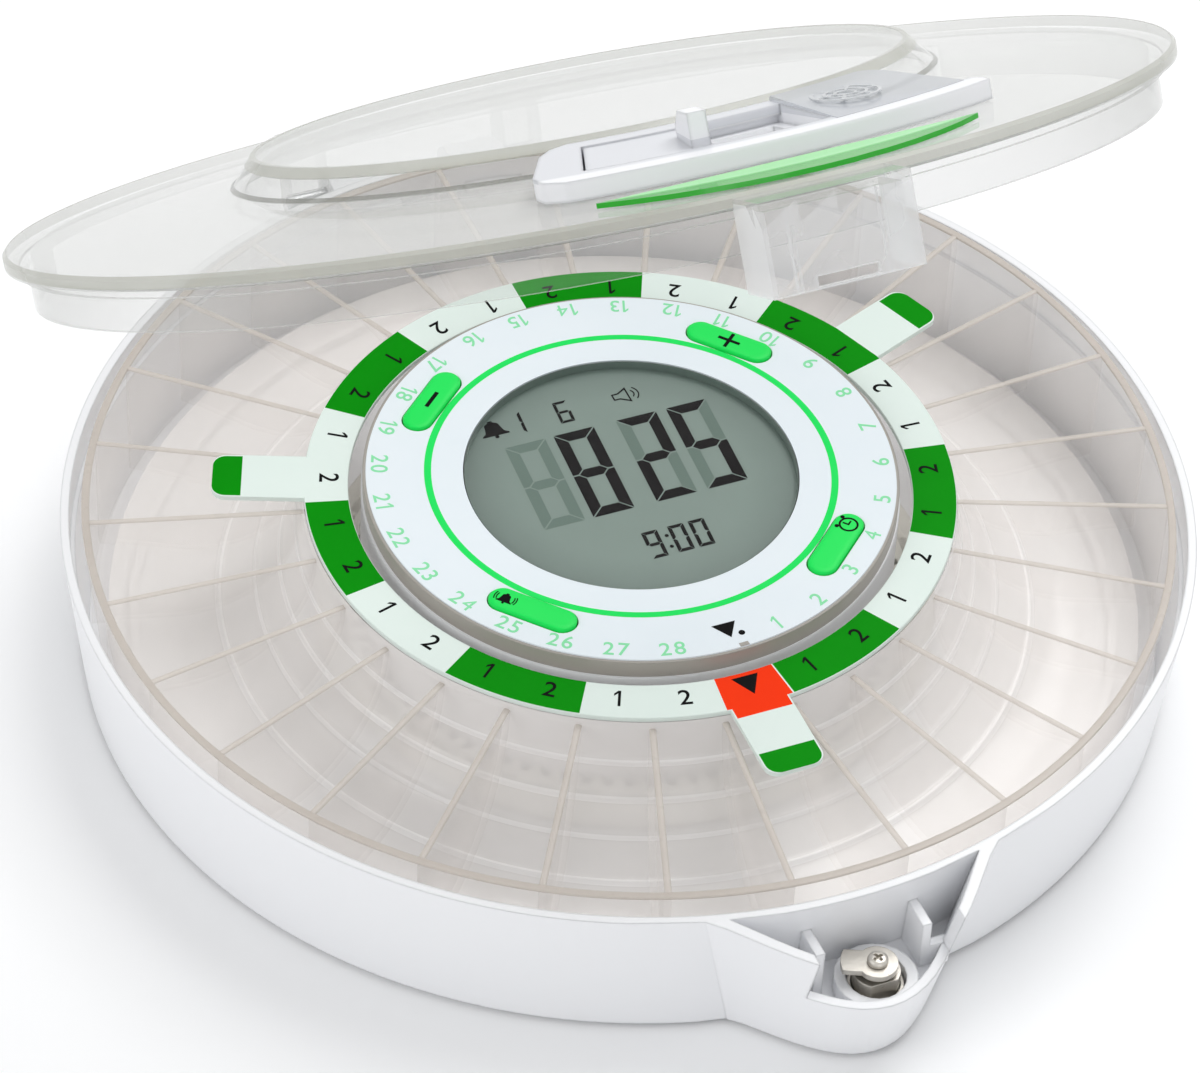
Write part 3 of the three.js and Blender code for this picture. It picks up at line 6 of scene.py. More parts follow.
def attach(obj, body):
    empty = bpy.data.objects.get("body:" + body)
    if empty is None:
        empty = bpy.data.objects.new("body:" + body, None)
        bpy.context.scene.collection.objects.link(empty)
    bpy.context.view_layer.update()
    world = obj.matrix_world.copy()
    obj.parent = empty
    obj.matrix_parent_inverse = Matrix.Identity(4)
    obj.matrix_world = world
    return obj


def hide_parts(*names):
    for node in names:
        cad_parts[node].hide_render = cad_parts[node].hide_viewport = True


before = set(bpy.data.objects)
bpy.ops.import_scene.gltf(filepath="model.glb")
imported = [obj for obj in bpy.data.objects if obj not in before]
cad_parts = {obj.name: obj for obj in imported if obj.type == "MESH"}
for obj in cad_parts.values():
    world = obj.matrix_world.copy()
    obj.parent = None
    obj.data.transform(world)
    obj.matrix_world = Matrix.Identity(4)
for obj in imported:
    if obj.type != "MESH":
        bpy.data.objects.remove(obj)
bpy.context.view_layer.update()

# The table and the studio. The pill box stands on a plain white table top under one large soft lamp, with
# weaker ones at its left and in front, and the camera stands where the photograph was taken from.
scene = bpy.context.scene
MM = 0.001
table_reach = 6.0
table_sink = 0.0002
fade_start, fade_end = 0.17, 0.5
sky_strength = 0.55
view_target = np.array([-10.9, -11.3, 35.4]) * MM
view_distance = 964.9 * MM
view_azimuth, view_elevation, view_roll = np.radians([-24.143, 43.529, 2.915])
view_lens_pixels, view_width_pixels, sensor_width = 5140.8, 1200, 36.0


def linked(name, data):
    """A new object of a mesh, a lamp or a camera, in the scene."""
    made = bpy.data.objects.new(name, data)
    scene.collection.objects.link(made)
    return made


class Number:
    """A number inside a material. Arithmetic on it adds the Math nodes that work it out."""

    def __init__(self, finish, socket):
        self.finish, self.socket = finish, socket

    def step(self, operation, *terms):
        return self.finish.node("Math", {"operation": operation}, dict(enumerate(terms)))

    def __add__(self, other):
        return self.step("ADD", self, other)

    def __sub__(self, other):
        return self.step("SUBTRACT", self, other)

    def __rsub__(self, other):
        return self.step("SUBTRACT", other, self)

    def __mul__(self, other):
        return self.step("MULTIPLY", self, other)

    def __truediv__(self, other):
        return self.step("DIVIDE", self, other)

    def __pow__(self, other):
        return self.step("POWER", self, other)

    def __gt__(self, other):
        return self.step("GREATER_THAN", self, other)

    def most(self, limit):
        """The number, or the limit where it is over it."""
        return self.step("MINIMUM", self, limit)

    __radd__ = __add__
    __rmul__ = __mul__


class Finish:
    """One material, with its surface shader and the coordinates of the piece it is on."""

    def __init__(self, name, **uniform):
        self.material = bpy.data.materials.new(name)
        self.start(self.material, "Principled BSDF", "Material Output")
        self.place = self.node("TexCoord", output="Object")
        for socket, value in uniform.items():
            self.set(socket.replace("_", " "), value)

    def start(self, holder, surface, out):
        """Finds the two nodes that a material or a world begins with."""
        holder.use_nodes = True
        self.tree = holder.node_tree
        self.surface, self.out = self.tree.nodes[surface], self.tree.nodes[out]
        self.lit = Number(self, self.surface.outputs[0])

    def node(self, kind, settings=None, inputs=None, output=0):
        """A shader node of that kind: its settings first, then the values or links of its sockets."""
        made = self.tree.nodes.new("ShaderNode" + kind)
        for name, value in (settings or {}).items():
            setattr(made, name, value)
        for name, value in (inputs or {}).items():
            self.feed(made.inputs[name], value)
        return Number(self, made.outputs[output])

    def feed(self, socket, value):
        """Links a worked-out value to a socket, or writes a plain one on it."""
        if isinstance(value, Number):
            self.tree.links.new(value.socket, socket)
        elif isinstance(value, tuple) and socket.type == "RGBA" and len(value) == 3:
            socket.default_value = (*value, 1.0)
        else:
            socket.default_value = value

    def set(self, name, value):
        self.feed(self.surface.inputs[name], value)

    def noise(self, scale, detail=2.0, stretch=(1.0, 1.0, 1.0)):
        """Soft random grain, scale cells per metre, drawn out along an axis by a small stretch there."""
        place = self.node("Mapping", inputs={"Vector": self.place, "Scale": stretch})
        return self.node("TexNoise", inputs={"Vector": place, "Scale": scale, "Detail": detail})

    def colour(self, mask, low, high):
        """Its colour: low where the mask is 0, and high where it is 1."""
        shades = {0: mask, 6: rgb(*low), 7: rgb(*high)}
        self.set("Base Color", self.node("Mix", {"data_type": "RGBA"}, shades, 2))

    def gloss(self, base, spread, *grain):
        """Its roughness: the base, plus the spread times a grain's noise."""
        self.set("Roughness", base + spread * self.noise(*grain))

    def along(self, axis, place=None):
        """How far along an axis, in metres, a place is, or else the point that is shaded."""
        return self.node("SeparateXYZ", inputs={"Vector": place or self.place}, output=axis)

    def reach(self, place=None):
        """The distance from the Z axis, in metres, of a place, or else of the point that is shaded."""
        flat = {0: place or self.place, 1: (1.0, 1.0, 0.0)}
        level = self.node("VectorMath", {"operation": "MULTIPLY"}, flat)
        return self.node("VectorMath", {"operation": "LENGTH"}, {0: level}, "Value")

    def share(self, value, start, end, shape="LINEAR"):
        """How far a value has come from the start to the end, from 0 to 1."""
        return self.node("MapRange", {"interpolation_type": shape}, {0: value, 1: start, 2: end})

    def seen(self):
        """1 for a ray that shows the surface, straight, mirrored or through clear plastic, and else 0."""
        rays = ("Is Camera Ray", "Is Glossy Ray", "Is Transmission Ray")
        return sum(self.node("LightPath", output=ray) for ray in rays).most(1.0)

    def show(self, factor, first, second):
        """Shows the first shader where the factor is 0, and the second where it is 1."""
        mixed = self.node("MixShader", inputs={0: factor, 1: first, 2: second})
        self.feed(self.out.inputs["Surface"], mixed)

    def grain(self, height, strength, distance, reach=0.0):
        """Fine relief from a height, in metres at full strength. Each sharp edge is eased over the reach, as
        a moulded edge is."""
        inputs = {"Height": height, "Strength": strength, "Distance": distance}
        if reach:
            inputs["Normal"] = self.node("Bevel", {"samples": 4}, {"Radius": reach})
        self.set("Normal", self.node("Bump", inputs=inputs))


class Sky(Finish):
    """The world, made with the same calls as a material."""

    def __init__(self, name):
        self.world = bpy.data.worlds.new(name)
        self.start(self.world, "Background", "World Output")


def rgb(red, green, blue):
    """A colour as it shows on screen, 0 to 255, made linear: ((c + 0.055) / 1.055) to the power 2.4, and
    c / 12.92 for the darkest."""
    shares = (red / 255, green / 255, blue / 255)
    return tuple(((c + 0.055) / 1.055) ** 2.4 if c > 0.04 else c / 12.92 for c in shares)


table_finish = Finish("table_top", Roughness=0.85)
table_finish.colour(table_finish.noise(3.0), (252, 252, 253), (248, 249, 250))
table_fade = table_finish.share(table_finish.reach(), fade_start, fade_end, "SMOOTHSTEP")
table_white = table_finish.node("Emission", inputs={"Color": (1.0, 1.0, 1.0)})
table_finish.show(table_fade * table_finish.seen(), table_finish.lit, table_white)
table_mesh = bpy.data.meshes.new("table_top")
table_corners = np.array([[-1, -1, 0], [1, -1, 0], [1, 1, 0], [-1, 1, 0]]) * table_reach - (0, 0, table_sink)
table_mesh.from_pydata(table_corners.tolist(), [], [(0, 1, 2, 3)])
table_mesh.materials.append(table_finish.material)
linked("table_top", table_mesh)

sky = Sky("studio")
sky.set("Color", (1.0, 1.0, 1.0))
sky.set("Strength", sky_strength)
sky_white = sky.node("Background", inputs={"Color": (1.0, 1.0, 1.0)})
sky.show(sky.seen(), sky.lit, sky_white)
scene.world = sky.world


def stood(name, data, right, up, back, place):
    """Links a lamp or a camera at a place, with its own right, up and backward directions."""
    made = linked(name, data)
    made.matrix_world = Matrix(np.column_stack([right, up, back, place]).tolist() + [[0, 0, 0, 1]])
    return made


def lamp(name, size, power, place):
    """A square soft lamp that faces the origin."""
    light = bpy.data.lights.new(name, "AREA")
    light.shape, light.size, light.energy = "SQUARE", size, power
    away = np.array(place) / np.linalg.norm(place)
    side = np.cross((0.0, 1.0, 0.01), away)
    side /= np.linalg.norm(side)
    stood(name, light, side, np.cross(away, side), away, place)


lamp("lamp_over", 1.1, 16.0, (0.7, 0.5, 1.5))
lamp("lamp_left", 0.9, 5.5, (-1.4, -0.1, 0.8))
lamp("lamp_front", 0.9, 2.2, (-0.1, -1.5, 0.6))

view_back = np.array([
    np.sin(view_azimuth) * np.cos(view_elevation),
    -np.cos(view_azimuth) * np.cos(view_elevation),
    np.sin(view_elevation),
])
level_right = np.array([np.cos(view_azimuth), np.sin(view_azimuth), 0.0])
level_up = np.cross(view_back, level_right)
view_right = level_right * np.cos(view_roll) + level_up * np.sin(view_roll)
view_up = level_up * np.cos(view_roll) - level_right * np.sin(view_roll)
camera_place = view_target + view_back * view_distance
camera_data = bpy.data.cameras.new("camera")
camera_data.sensor_width = sensor_width
camera_data.lens = view_lens_pixels / view_width_pixels * sensor_width
camera_data.clip_start, camera_data.clip_end = 0.05, 50.0
scene.camera = stood("camera", camera_data, view_right, view_up, view_back, camera_place)
scene.cycles.transparent_max_bounces = 32
scene.view_settings.view_transform = "Standard"


# The base shell. A low round tub moulded in glossy white plastic, drafted towards the table, with the bulged
# lock bay at its front, the centre pod, rails for the turntable and knuckles for the hinge behind it.
def read(items, name, width=3, kind=float):
    """One property of all the corners or faces of a mesh, as rows of that width."""
    values = np.empty(len(items) * width, kind)
    items.foreach_get(name, values)
    return values.reshape(-1, width)


def welded(name):
    """Corners in millimetres and triangles of a CAD node, its triangles tied where their corners meet."""
    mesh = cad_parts[name].data
    mesh.calc_loop_triangles()
    corners = np.round(read(mesh.vertices, "co") / MM, 4)
    corners, which = np.unique(corners, axis=0, return_inverse=True)
    return corners, which.ravel()[read(mesh.loop_triangles, "vertices", 3, int)]


def sides_of(triangles):
    """The three sides of each triangle, first sides first."""
    return np.concatenate([triangles[:, [0, 1]], triangles[:, [1, 2]], triangles[:, [2, 0]]])


def finer(corners, faces, levels=2, centre=(0.0, 0.0), facet=8.0, core=30.0):
    """Splits each triangle in four at the middles of its edges. A middle takes the mean radius of the edge's
    two ends round the centre, so a turned wall comes to lie on its true curve. An edge that turns by more
    than a facet, comes nearer than the core, or runs across a level face stays straight."""
    same = 0.002
    for level in range(levels):
        pairs, which = np.unique(np.sort(sides_of(faces), 1), axis=0, return_inverse=True)
        start, end = corners[pairs[:, 0]], corners[pairs[:, 1]]
        middle = (start + end) / 2
        from_start, from_end, from_middle = (p[:, :2] - centre for p in (start, end, middle))
        radii = [np.maximum(np.hypot(p[:, 0], p[:, 1]), 1e-6) for p in (from_start, from_end, from_middle)]
        cosine = (from_start * from_end).sum(1) / (radii[0] * radii[1])
        flat = (np.abs(start[:, 2] - end[:, 2]) < same) & (np.abs(radii[0] - radii[1]) > same)
        turned = (cosine > np.cos(np.radians(facet / 2**level))) & (radii[2] > core) & ~flat
        grown = np.where(turned, (radii[0] + radii[1]) / 2 / radii[2], 1.0)
        middle[:, :2] = from_middle * grown[:, None] + centre
        mid = which.reshape(3, -1) + len(corners)
        faces = np.concatenate([
            np.stack([faces[:, 0], mid[0], mid[2]], 1),
            np.stack([mid[0], faces[:, 1], mid[1]], 1),
            np.stack([mid[2], mid[1], faces[:, 2]], 1),
            mid.T,
        ])
        corners = np.concatenate([corners, middle])
    return corners, faces


def laid(name, corners, faces, crease=30.0):
    """A mesh from corners in millimetres and faces, shaded round where an edge turns by less than the
    crease."""
    mesh = bpy.data.meshes.new(name)
    mesh.from_pydata((corners * MM).tolist(), [], faces if isinstance(faces, list) else faces.tolist())
    mesh.validate()
    mesh.shade_smooth()
    mesh.set_sharp_from_angle(angle=np.radians(crease))
    return mesh


def reshaped(mesh, change):
    """The mesh, its corners in millimetres put through a change."""
    mesh.vertices.foreach_set("co", (change(read(mesh.vertices, "co") / MM) * MM).ravel())
    return mesh


def placed(mesh, body, slot, finish, *stands_for):
    """Links a mesh as a piece that rides on a body, takes its finish, and stands for CAD nodes."""
    made = linked(mesh.name, mesh)
    for one in finish if isinstance(finish, (list, tuple)) else [finish]:
        mesh.materials.append(one.material)
    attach(made, body)
    if stands_for:
        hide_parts(*stands_for)
    return made


def inked(mesh, which):
    """Gives each face of a mesh the material of that number."""
    mesh.polygons.foreach_set("material_index", np.ravel(which).astype(np.int32))


def rounded(node, body, slot, finish, **how):
    """The fine form of a turned CAD node, in its place."""
    return placed(laid(node + "_fine", *finer(*welded(node), **how), 12.0), body, slot, finish, node)


def dressed(finish, *names):
    """Gives CAD nodes their material."""
    for name in names:
        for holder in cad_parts[name].material_slots:
            holder.material = finish.material


def four(name):
    """The names of four like nodes."""
    return [f"{name}_{i}" for i in (1, 2, 3, 4)]


def moulded(name, low, high, roughness=0.3, shine=0.5, reach=0.0006, mask=None):
    """Moulded plastic, over a very fine relief and eased edges. Its gloss drifts a little, and its colour
    too, unless a mask gives each colour its place."""
    made = Finish(name, Specular_IOR_Level=shine)
    made.colour(mask(made) if mask else made.noise(12.0), low, high)
    made.gloss(roughness - 0.02, 0.04, 60.0)
    made.grain(made.noise(1400.0, 1.0), 0.02, 0.00002, reach)
    return made


white_shell = moulded("white_shell", (238, 239, 242), (242, 243, 245))
rounded("base_shell", "base", "white_shell", white_shell)


# The underside. A bottom cover held by four screws, a battery door held by one, both in the shell's white,
# and four soft grey rubber feet.
rounded("bottom_cover", "base", "white_shell", white_shell, facet=10.0)
dressed(white_shell, "battery_door")
steel = Finish("screw_steel", Metallic=1.0)
steel.colour(steel.noise(300.0), (168, 170, 172), (205, 206, 208))
steel.gloss(0.25, 0.2, 900.0, 3.0, (1.0, 1.0, 0.1))
dressed(steel, "door_screw", *four("cover_screw"), *four("board_screw"))
rubber = Finish("foot_rubber", Roughness=0.75)
rubber.colour(rubber.noise(200.0), (92, 93, 95), (112, 113, 114))
rubber.grain(rubber.noise(1800.0), 0.3, 0.0001)
dressed(rubber, *four("foot"))


# The batteries. Four AA cells lie in the bay under the pod between nickel contacts, with a lead to the board.
# Each has a dark jacket with copper bands along its length.
band_turn, band_start = 110.0, 0.55
cell_jacket = Finish("cell_jacket")
jacket_length = cell_jacket.along("Y")
jacket_band = jacket_length.step("SINE", jacket_length * band_turn) > band_start
cell_jacket.colour(jacket_band, (52, 56, 60), (178, 120, 62))
cell_jacket.gloss(0.3, 0.1, 400.0)
dressed(cell_jacket, *four("battery"))
nickel = Finish("nickel_plate", Metallic=0.85)
nickel.colour(nickel.noise(260.0, 4.0), (176, 171, 163), (214, 210, 202))
nickel.gloss(0.2, 0.25, 700.0, 4.0)
nickel.grain(nickel.noise(1500.0, 4.0), 0.3, 0.00008, 0.00025)
dressed(nickel, "contact_plus", "contact_bridge_1", "contact_bridge_2", "contact_bridge_3", "contact_minus")
black_plastic = moulded("black_plastic", (30, 31, 33), (42, 43, 45), 0.45, 0.25, 0.0002)
dressed(black_plastic, "battery_lead", "buzzer", "home_switch", *four("key_switch"))


# The drive. A small motor with its gearbox on a steel bracket turns the pinion, which turns the toothed
# nylon turntable under the tray by one cell at a time.
dressed(steel, "drive_motor", "motor_bracket", "motor_shaft", "hinge_pin")
gear_nylon = moulded("gear_nylon", (226, 224, 214), (234, 232, 224), 0.42)
dressed(gear_nylon, "drive_gearbox", "drive_pinion", "turntable")


# The tray. One clear styrene moulding, a little milky, that lies on the turntable: a deck round the pod, 29
# cells with swept floors under it, fine ridges across the sweep, and thin dividers whose pale top edges are
# painted light.
cell_count = 29
cell_pitch = 360.0 / cell_count
deck_top, deck_thick, deck_lap, deck_under_end = 34.4, 1.6, 0.2, 60.4
collar_radius, collar_wall, collar_foot = 55.4, 1.6, 8.8
sweep_centre, sweep_reach, sweep_top, sweep_depth = 88.0, 25.6, 33.0, 25.6
tray_skin, tray_wall, tray_radius, tray_foot_radius, tray_foot_ease = 1.6, 1.5, 103.9, 101.7, 1.5
rim_sink, rim_rise, rim_round = 0.6, 0.05, 0.3
divider_thick, divider_edge, divider_root, divider_lap, divider_sink = 1.3, 0.25, 0.6, 0.4, 0.5
ridge_turns, ridge_height, ridge_spread = np.radians([17.0, 33.0, 49.0, 68.0]), 0.28, np.radians(1.1)
ridge_shown, top_facing, top_area = 0.2, 0.6, 0.00002
under_turn_start = 0.12


def around(radius, degrees, height):
    """Points at a radius and height, turned by degrees from the front towards +X: (r sin a, -r cos a, z)."""
    turn = np.radians(degrees)
    radius, turn, height = np.broadcast_arrays(radius, turn, height)
    return np.stack([radius * np.sin(turn), -radius * np.cos(turn), height], -1)


def tied(rows, count, joined, first=0):
    """Quads that tie each loop of points to the next, and the last to the first where joined."""
    at = np.arange(rows * count).reshape(rows, count) + first
    lower, upper = (at, np.roll(at, -1, 0)) if joined else (at[:-1], at[1:])
    return np.stack([lower, np.roll(lower, -1, 1), np.roll(upper, -1, 1), upper], -1).reshape(-1, 4)


def skinned(name, loops, joined=False, crease=30.0):
    """A closed skin over loops of points, rows x points x 3, or over several such stacks. A stack closes on
    itself where joined, and else has a face over each end. Its faces turn where its volume comes out
    negative."""
    faces, corners, first = [], [], 0
    for stack in loops if isinstance(loops, list) else [loops]:
        rows, count = stack.shape[:2]
        last = first + (rows - 1) * count
        quads = tied(rows, count, joined, first)
        ends = [] if joined else [list(range(first, first + count))[::-1], list(range(last, last + count))]
        points = stack.reshape(-1, 3)
        a, b, c, d = (points[quads[:, i] - first] for i in range(4))
        volume = (a * np.cross(b, c)).sum() + (a * np.cross(c, d)).sum()
        for end in ends:
            ring = points[np.array(end) - first]
            volume += (ring[0] * np.cross(ring, np.roll(ring, -1, 0)).sum(0)).sum()
        chosen = quads.tolist() + ends
        faces += chosen if volume > 0 else [f[::-1] for f in chosen]
        corners.append(points)
        first += rows * count
    return laid(name, np.concatenate(corners), faces, crease)


def oblong(left, low, right, high):
    """The outline of an upright rectangle."""
    return [[left, low], [right, low], [right, high], [left, high]]


def eased(corners, radius, steps=4, most=0.45):
    """A closed outline with each corner drawn round, by the curve from start to end
    (1 - t)(1 - t) start + 2 t (1 - t) corner + t t end. Both are the radius away along the two edges, or the
    most of an edge's length where that is less."""
    corners = np.asarray(corners, float)
    edges = [np.roll(corners, way, 0) - corners for way in (1, -1)]
    lengths = [np.linalg.norm(edge, axis=-1, keepdims=True) for edge in edges]
    start, end = (corners + e / long * np.minimum(radius, long * most) for e, long in zip(edges, lengths))
    t = np.linspace(0, 1, steps + 1)[None, :, None]
    curve = (1 - t) ** 2 * start[:, None] + 2 * t * (1 - t) * corners[:, None] + t**2 * end[:, None]
    return curve.reshape(-1, corners.shape[-1])


def lathed(name, profile, steps=288, crease=30.0, joined=True):
    """An outline of radius and height, carried once round the Z axis. Where it isn't joined to itself, one
    face closes each of its ends."""
    profile = np.asarray(profile, float)
    turns = np.arange(steps) * 360.0 / steps
    return skinned(name, around(profile[:, :1], turns[None, :], profile[:, 1:]), joined, crease)


def sweep_floor(turn, sink=0.0):
    """The cell floor's curve: radius centre - (reach + sink) cos t and height top - (depth + sink) sin t."""
    radius = sweep_centre - (sweep_reach + sink) * np.cos(turn)
    return np.stack([radius, sweep_top - (sweep_depth + sink) * np.sin(turn)], -1)


def clear(name, tint, skin, least, most, power, roughness=0.1, haze=0.0):
    """Clear plastic. Light passes straight through its tint where it is seen square on. Its skin shows as it
    is seen edge on, least + (most - least) f to the power, with an uneven haze, and throws a fifth of a
    full shade."""
    shade = 0.2
    made = Finish(name, Roughness=roughness)
    facing = made.node("LayerWeight", inputs={"Blend": 0.5}, output="Facing")
    in_shade = made.node("LightPath", output="Is Shadow Ray")
    shown = (least + (most - least) * facing**power + haze * made.noise(45.0, 3.0)).most(1.0)
    made.set("Base Color", rgb(*skin))
    passed = made.node("BsdfTransparent", inputs={"Color": tint})
    made.show(shown * (1.0 - in_shade * (1.0 - shade)), passed, made.lit)
    made.grain(made.noise(500.0, 1.0), 0.04, 0.0001)
    return made


tray_tint = (0.998, 0.996, 0.994)
tray_clear = clear("tray_clear", tray_tint, (246, 241, 238), 0.03, 0.4, 3.0, 0.15, 0.03)
tray_sweep = clear("tray_sweep", tray_tint, (255, 252, 250), 0.62, 0.78, 2.0, 0.18, 0.12)
# The ridges across the sweep are real; their paler, less clear skin is a painted highlight for the light they
# catch.
tray_ridge_highlight = clear("tray_ridge_highlight", tray_tint, (255, 253, 252), 0.8, 0.95, 1.0, 0.18)
# The dividers' tops and the tray's rim are painted pale beige and half clear: painted light, where light
# comes out of the clear sheet's edges.
tray_edge_light = Finish("tray_edge_light", Alpha=0.75, Specular_IOR_Level=0.3)
tray_edge_light.colour(tray_edge_light.noise(60.0, 3.0), (204, 195, 186), (214, 206, 198))
tray_edge_light.gloss(0.22, 0.15, 300.0)
floor_turns = np.linspace(0, np.pi / 2, 90)
floor_out = np.stack([np.cos(floor_turns), np.sin(floor_turns)], -1)
ridges = ridge_height * np.exp(-(((floor_turns[:, None] - ridge_turns) / ridge_spread) ** 2)).sum(1)
floor_curve = sweep_floor(floor_turns) + ridges[:, None] * floor_out
under_curve = sweep_floor(np.linspace(under_turn_start, np.pi / 2, 30), tray_skin)[::-1]
floor_z = sweep_top - sweep_depth
deck_end = sweep_centre - sweep_reach - deck_lap
tray_profile = np.concatenate([
    [[collar_radius, collar_foot], [collar_radius, deck_top], [deck_end, deck_top]],
    floor_curve,
    [
        [tray_foot_radius - tray_wall - tray_foot_ease / 2, floor_z],
        [tray_foot_radius - tray_wall, floor_z + tray_foot_ease],
        [tray_radius - tray_wall, sweep_top],
        [tray_radius, sweep_top],
        [tray_foot_radius, floor_z - tray_skin + tray_foot_ease],
        [tray_foot_radius - tray_foot_ease, floor_z - tray_skin],
    ],
    under_curve,
    [
        [deck_under_end, deck_top - deck_thick],
        [collar_radius + collar_wall, deck_top - deck_thick],
        [collar_radius + collar_wall, collar_foot],
    ],
])
tray_steps = cell_count * 12
tray_mesh = lathed("tray_shell", tray_profile, tray_steps, 25.0)
sweep_rows = slice(3, 3 + len(ridges))
tray_rows = np.zeros((len(tray_profile), tray_steps))
tray_rows[2:sweep_rows.stop] = 1
tray_rows[sweep_rows] += (ridges > ridge_shown * ridge_height)[:, None]
inked(tray_mesh, tray_rows)
placed(tray_mesh, "tray", "clear_plastic", [tray_clear, tray_sweep, tray_ridge_highlight])
divider_inner = sweep_centre - sweep_reach - divider_root
divider_outer = tray_radius - tray_wall + divider_lap
divider_radius = np.linspace(divider_inner, divider_outer, 44)
divider_share = np.clip((sweep_centre - divider_radius) / sweep_reach, 0, 1)
divider_foot = sweep_top - sweep_depth * np.sqrt(1 - divider_share**2) - divider_sink
divider_side = np.array([-1, -1, -0.55, 0.55, 1, 1]) * divider_thick / 2
divider_rise = np.array([0, 1, 1, 1, 1, 0])
divider_drop = np.array([0, divider_edge, 0, 0, divider_edge, 0])
divider_z = divider_foot[:, None] + (sweep_top - divider_foot)[:, None] * divider_rise - divider_drop
one_divider = np.stack(np.broadcast_arrays(divider_side[None, :], -divider_radius[:, None], divider_z), -1)


def turned_by(points, degrees):
    """The points turned round the Z axis, from the front towards +X."""
    cosine, sine = np.cos(np.radians(degrees)), np.sin(np.radians(degrees))
    x, y = points[..., 0], points[..., 1]
    return np.stack([x * cosine - y * sine, x * sine + y * cosine, points[..., 2]], -1)


dividers = [turned_by(one_divider, (i + 0.5) * cell_pitch) for i in range(cell_count)]
divider_mesh = skinned("tray_dividers", dividers, crease=50.0)
placed(divider_mesh, "tray", "clear_plastic", [tray_clear, tray_edge_light], "tray")
facing_up = read(divider_mesh.polygons, "normal")[:, 2] > top_facing
narrow = read(divider_mesh.polygons, "area", 1).ravel() < top_area
inked(divider_mesh, facing_up & narrow)
rim_box = oblong(tray_radius - tray_wall, sweep_top - rim_sink, tray_radius, sweep_top + rim_rise)
placed(lathed("tray_rim", eased(rim_box, rim_round), tray_steps), "tray", "clear_plastic", tray_edge_light)


# The dosage ring. A printed plastic ring that drops over the pod onto the tray's deck: a red field at the
# front, then pairs of green and white fields numbered 1 and 2, and three tabs that reach out over the cells.
ring_inner, ring_outer, ring_low, ring_high, ring_ease = 53.6, 62.0, 34.4, 35.4, 0.12
field_line, field_middle, field_height = 0.3, 57.2, 3.9
tab_half, tab_reach, tab_corner, tab_step, tab_lift, tab_least = 5.75, 79.3, 2.6, 9, 0.002, 0.002
tab_root, tab_field_end, tab_green_start = ring_outer - field_line - 0.04, 64.2, 73.75
print_thick = 0.04
numeral_size, numeral_bold, numeral_gap = 1.35, 0.01, 0.2


def printed(name, colour, other, roughness=0.35):
    """Printed plastic sheet: even ink with a faint grain."""
    made = Finish(name, Specular_IOR_Level=0.04)
    made.colour(made.noise(90.0, 3.0), colour, other)
    made.gloss(roughness - 0.05, 0.1, 200.0)
    made.grain(made.noise(1600.0, 1.0), 0.04, 0.00003)
    return made


label_white = printed("label_white", (232, 243, 238), (226, 239, 233))
label_green = printed("label_green", (0, 146, 4), (0, 138, 4))
label_red = printed("label_red", (255, 60, 14), (250, 55, 12))
ink_black = printed("ink_black", (8, 8, 9), (12, 12, 13))
inks = [label_white, label_green, label_red]
line_turn = np.degrees(field_line / ring_outer)
field_marks = np.concatenate([[-0.5, -0.5 + line_turn / cell_pitch], np.linspace(-0.38, 0.5, 9)[:-1]])
ring_turns = ((np.arange(cell_count)[:, None] + field_marks) * cell_pitch).ravel()
ring_rows = np.array([
    [ring_inner, ring_low],
    [ring_inner, ring_high - ring_ease],
    [ring_inner + ring_ease, ring_high],
    [ring_inner + field_line, ring_high],
    [ring_outer - field_line, ring_high],
    [ring_outer - ring_ease, ring_high],
    [ring_outer, ring_high - ring_ease],
    [ring_outer, ring_low],
])
ring_mesh = skinned("dosage_ring_band", around(ring_rows[:, :1], ring_turns[None, :], ring_rows[:, 1:]), True)
field_of = np.repeat(np.arange(cell_count), len(field_marks))
field_ink = np.where(field_of == 0, 2, np.where((field_of - 1) // 2 % 2 == 0, 1, 0))
changed = field_ink != np.roll(field_ink, 1)
ring_ink = np.zeros((len(ring_rows), len(ring_turns)))
ring_ink[2:5] = field_ink
ring_ink[:, changed] = 0
inked(ring_mesh, ring_ink)
placed(ring_mesh, "tray", "label_print", inks)

tab_round = tab_reach - tab_corner * (1 - np.sin(np.linspace(0, np.pi / 2, 8)))
tab_radii = np.concatenate([[tab_root, tab_field_end, tab_green_start], tab_round])
tab_over = np.clip(tab_radii - (tab_reach - tab_corner), 0, tab_corner)
tab_width = tab_half - tab_corner + np.sqrt(np.maximum(tab_corner**2 - tab_over**2, tab_least))
tab_columns = np.array([-1, -1, -1, 1, 1, 1])
tab_inset = np.array([0, 0, 1, 1, 0, 0]) * field_line
tab_up = np.array([0, 1, 1, 1, 1, 0])
tab_x = tab_columns * (tab_width[:, None] - tab_inset)
tab_z = np.broadcast_to(ring_low + tab_lift + tab_up * (ring_high - ring_low + 2 * tab_lift), tab_x.shape)
one_tab = np.stack([tab_x, np.broadcast_to(-tab_radii[:, None], tab_x.shape), tab_z], -1)
tab_angles = [0.0, tab_step * cell_pitch, -tab_step * cell_pitch]
tab_mesh = skinned("dosage_ring_tabs", [turned_by(one_tab, a) for a in tab_angles], crease=25.0)
tab_ink = np.zeros((len(tab_angles), (len(tab_radii) - 1) * len(tab_up) + 2))
tab_ink[:, 2:-2:len(tab_up)] = [[first, 0] + [1] * len(tab_round) for first in (2, 0, 0)]
inked(tab_mesh, tab_ink)
placed(tab_mesh, "tray", "label_print", inks, "dosage_ring")


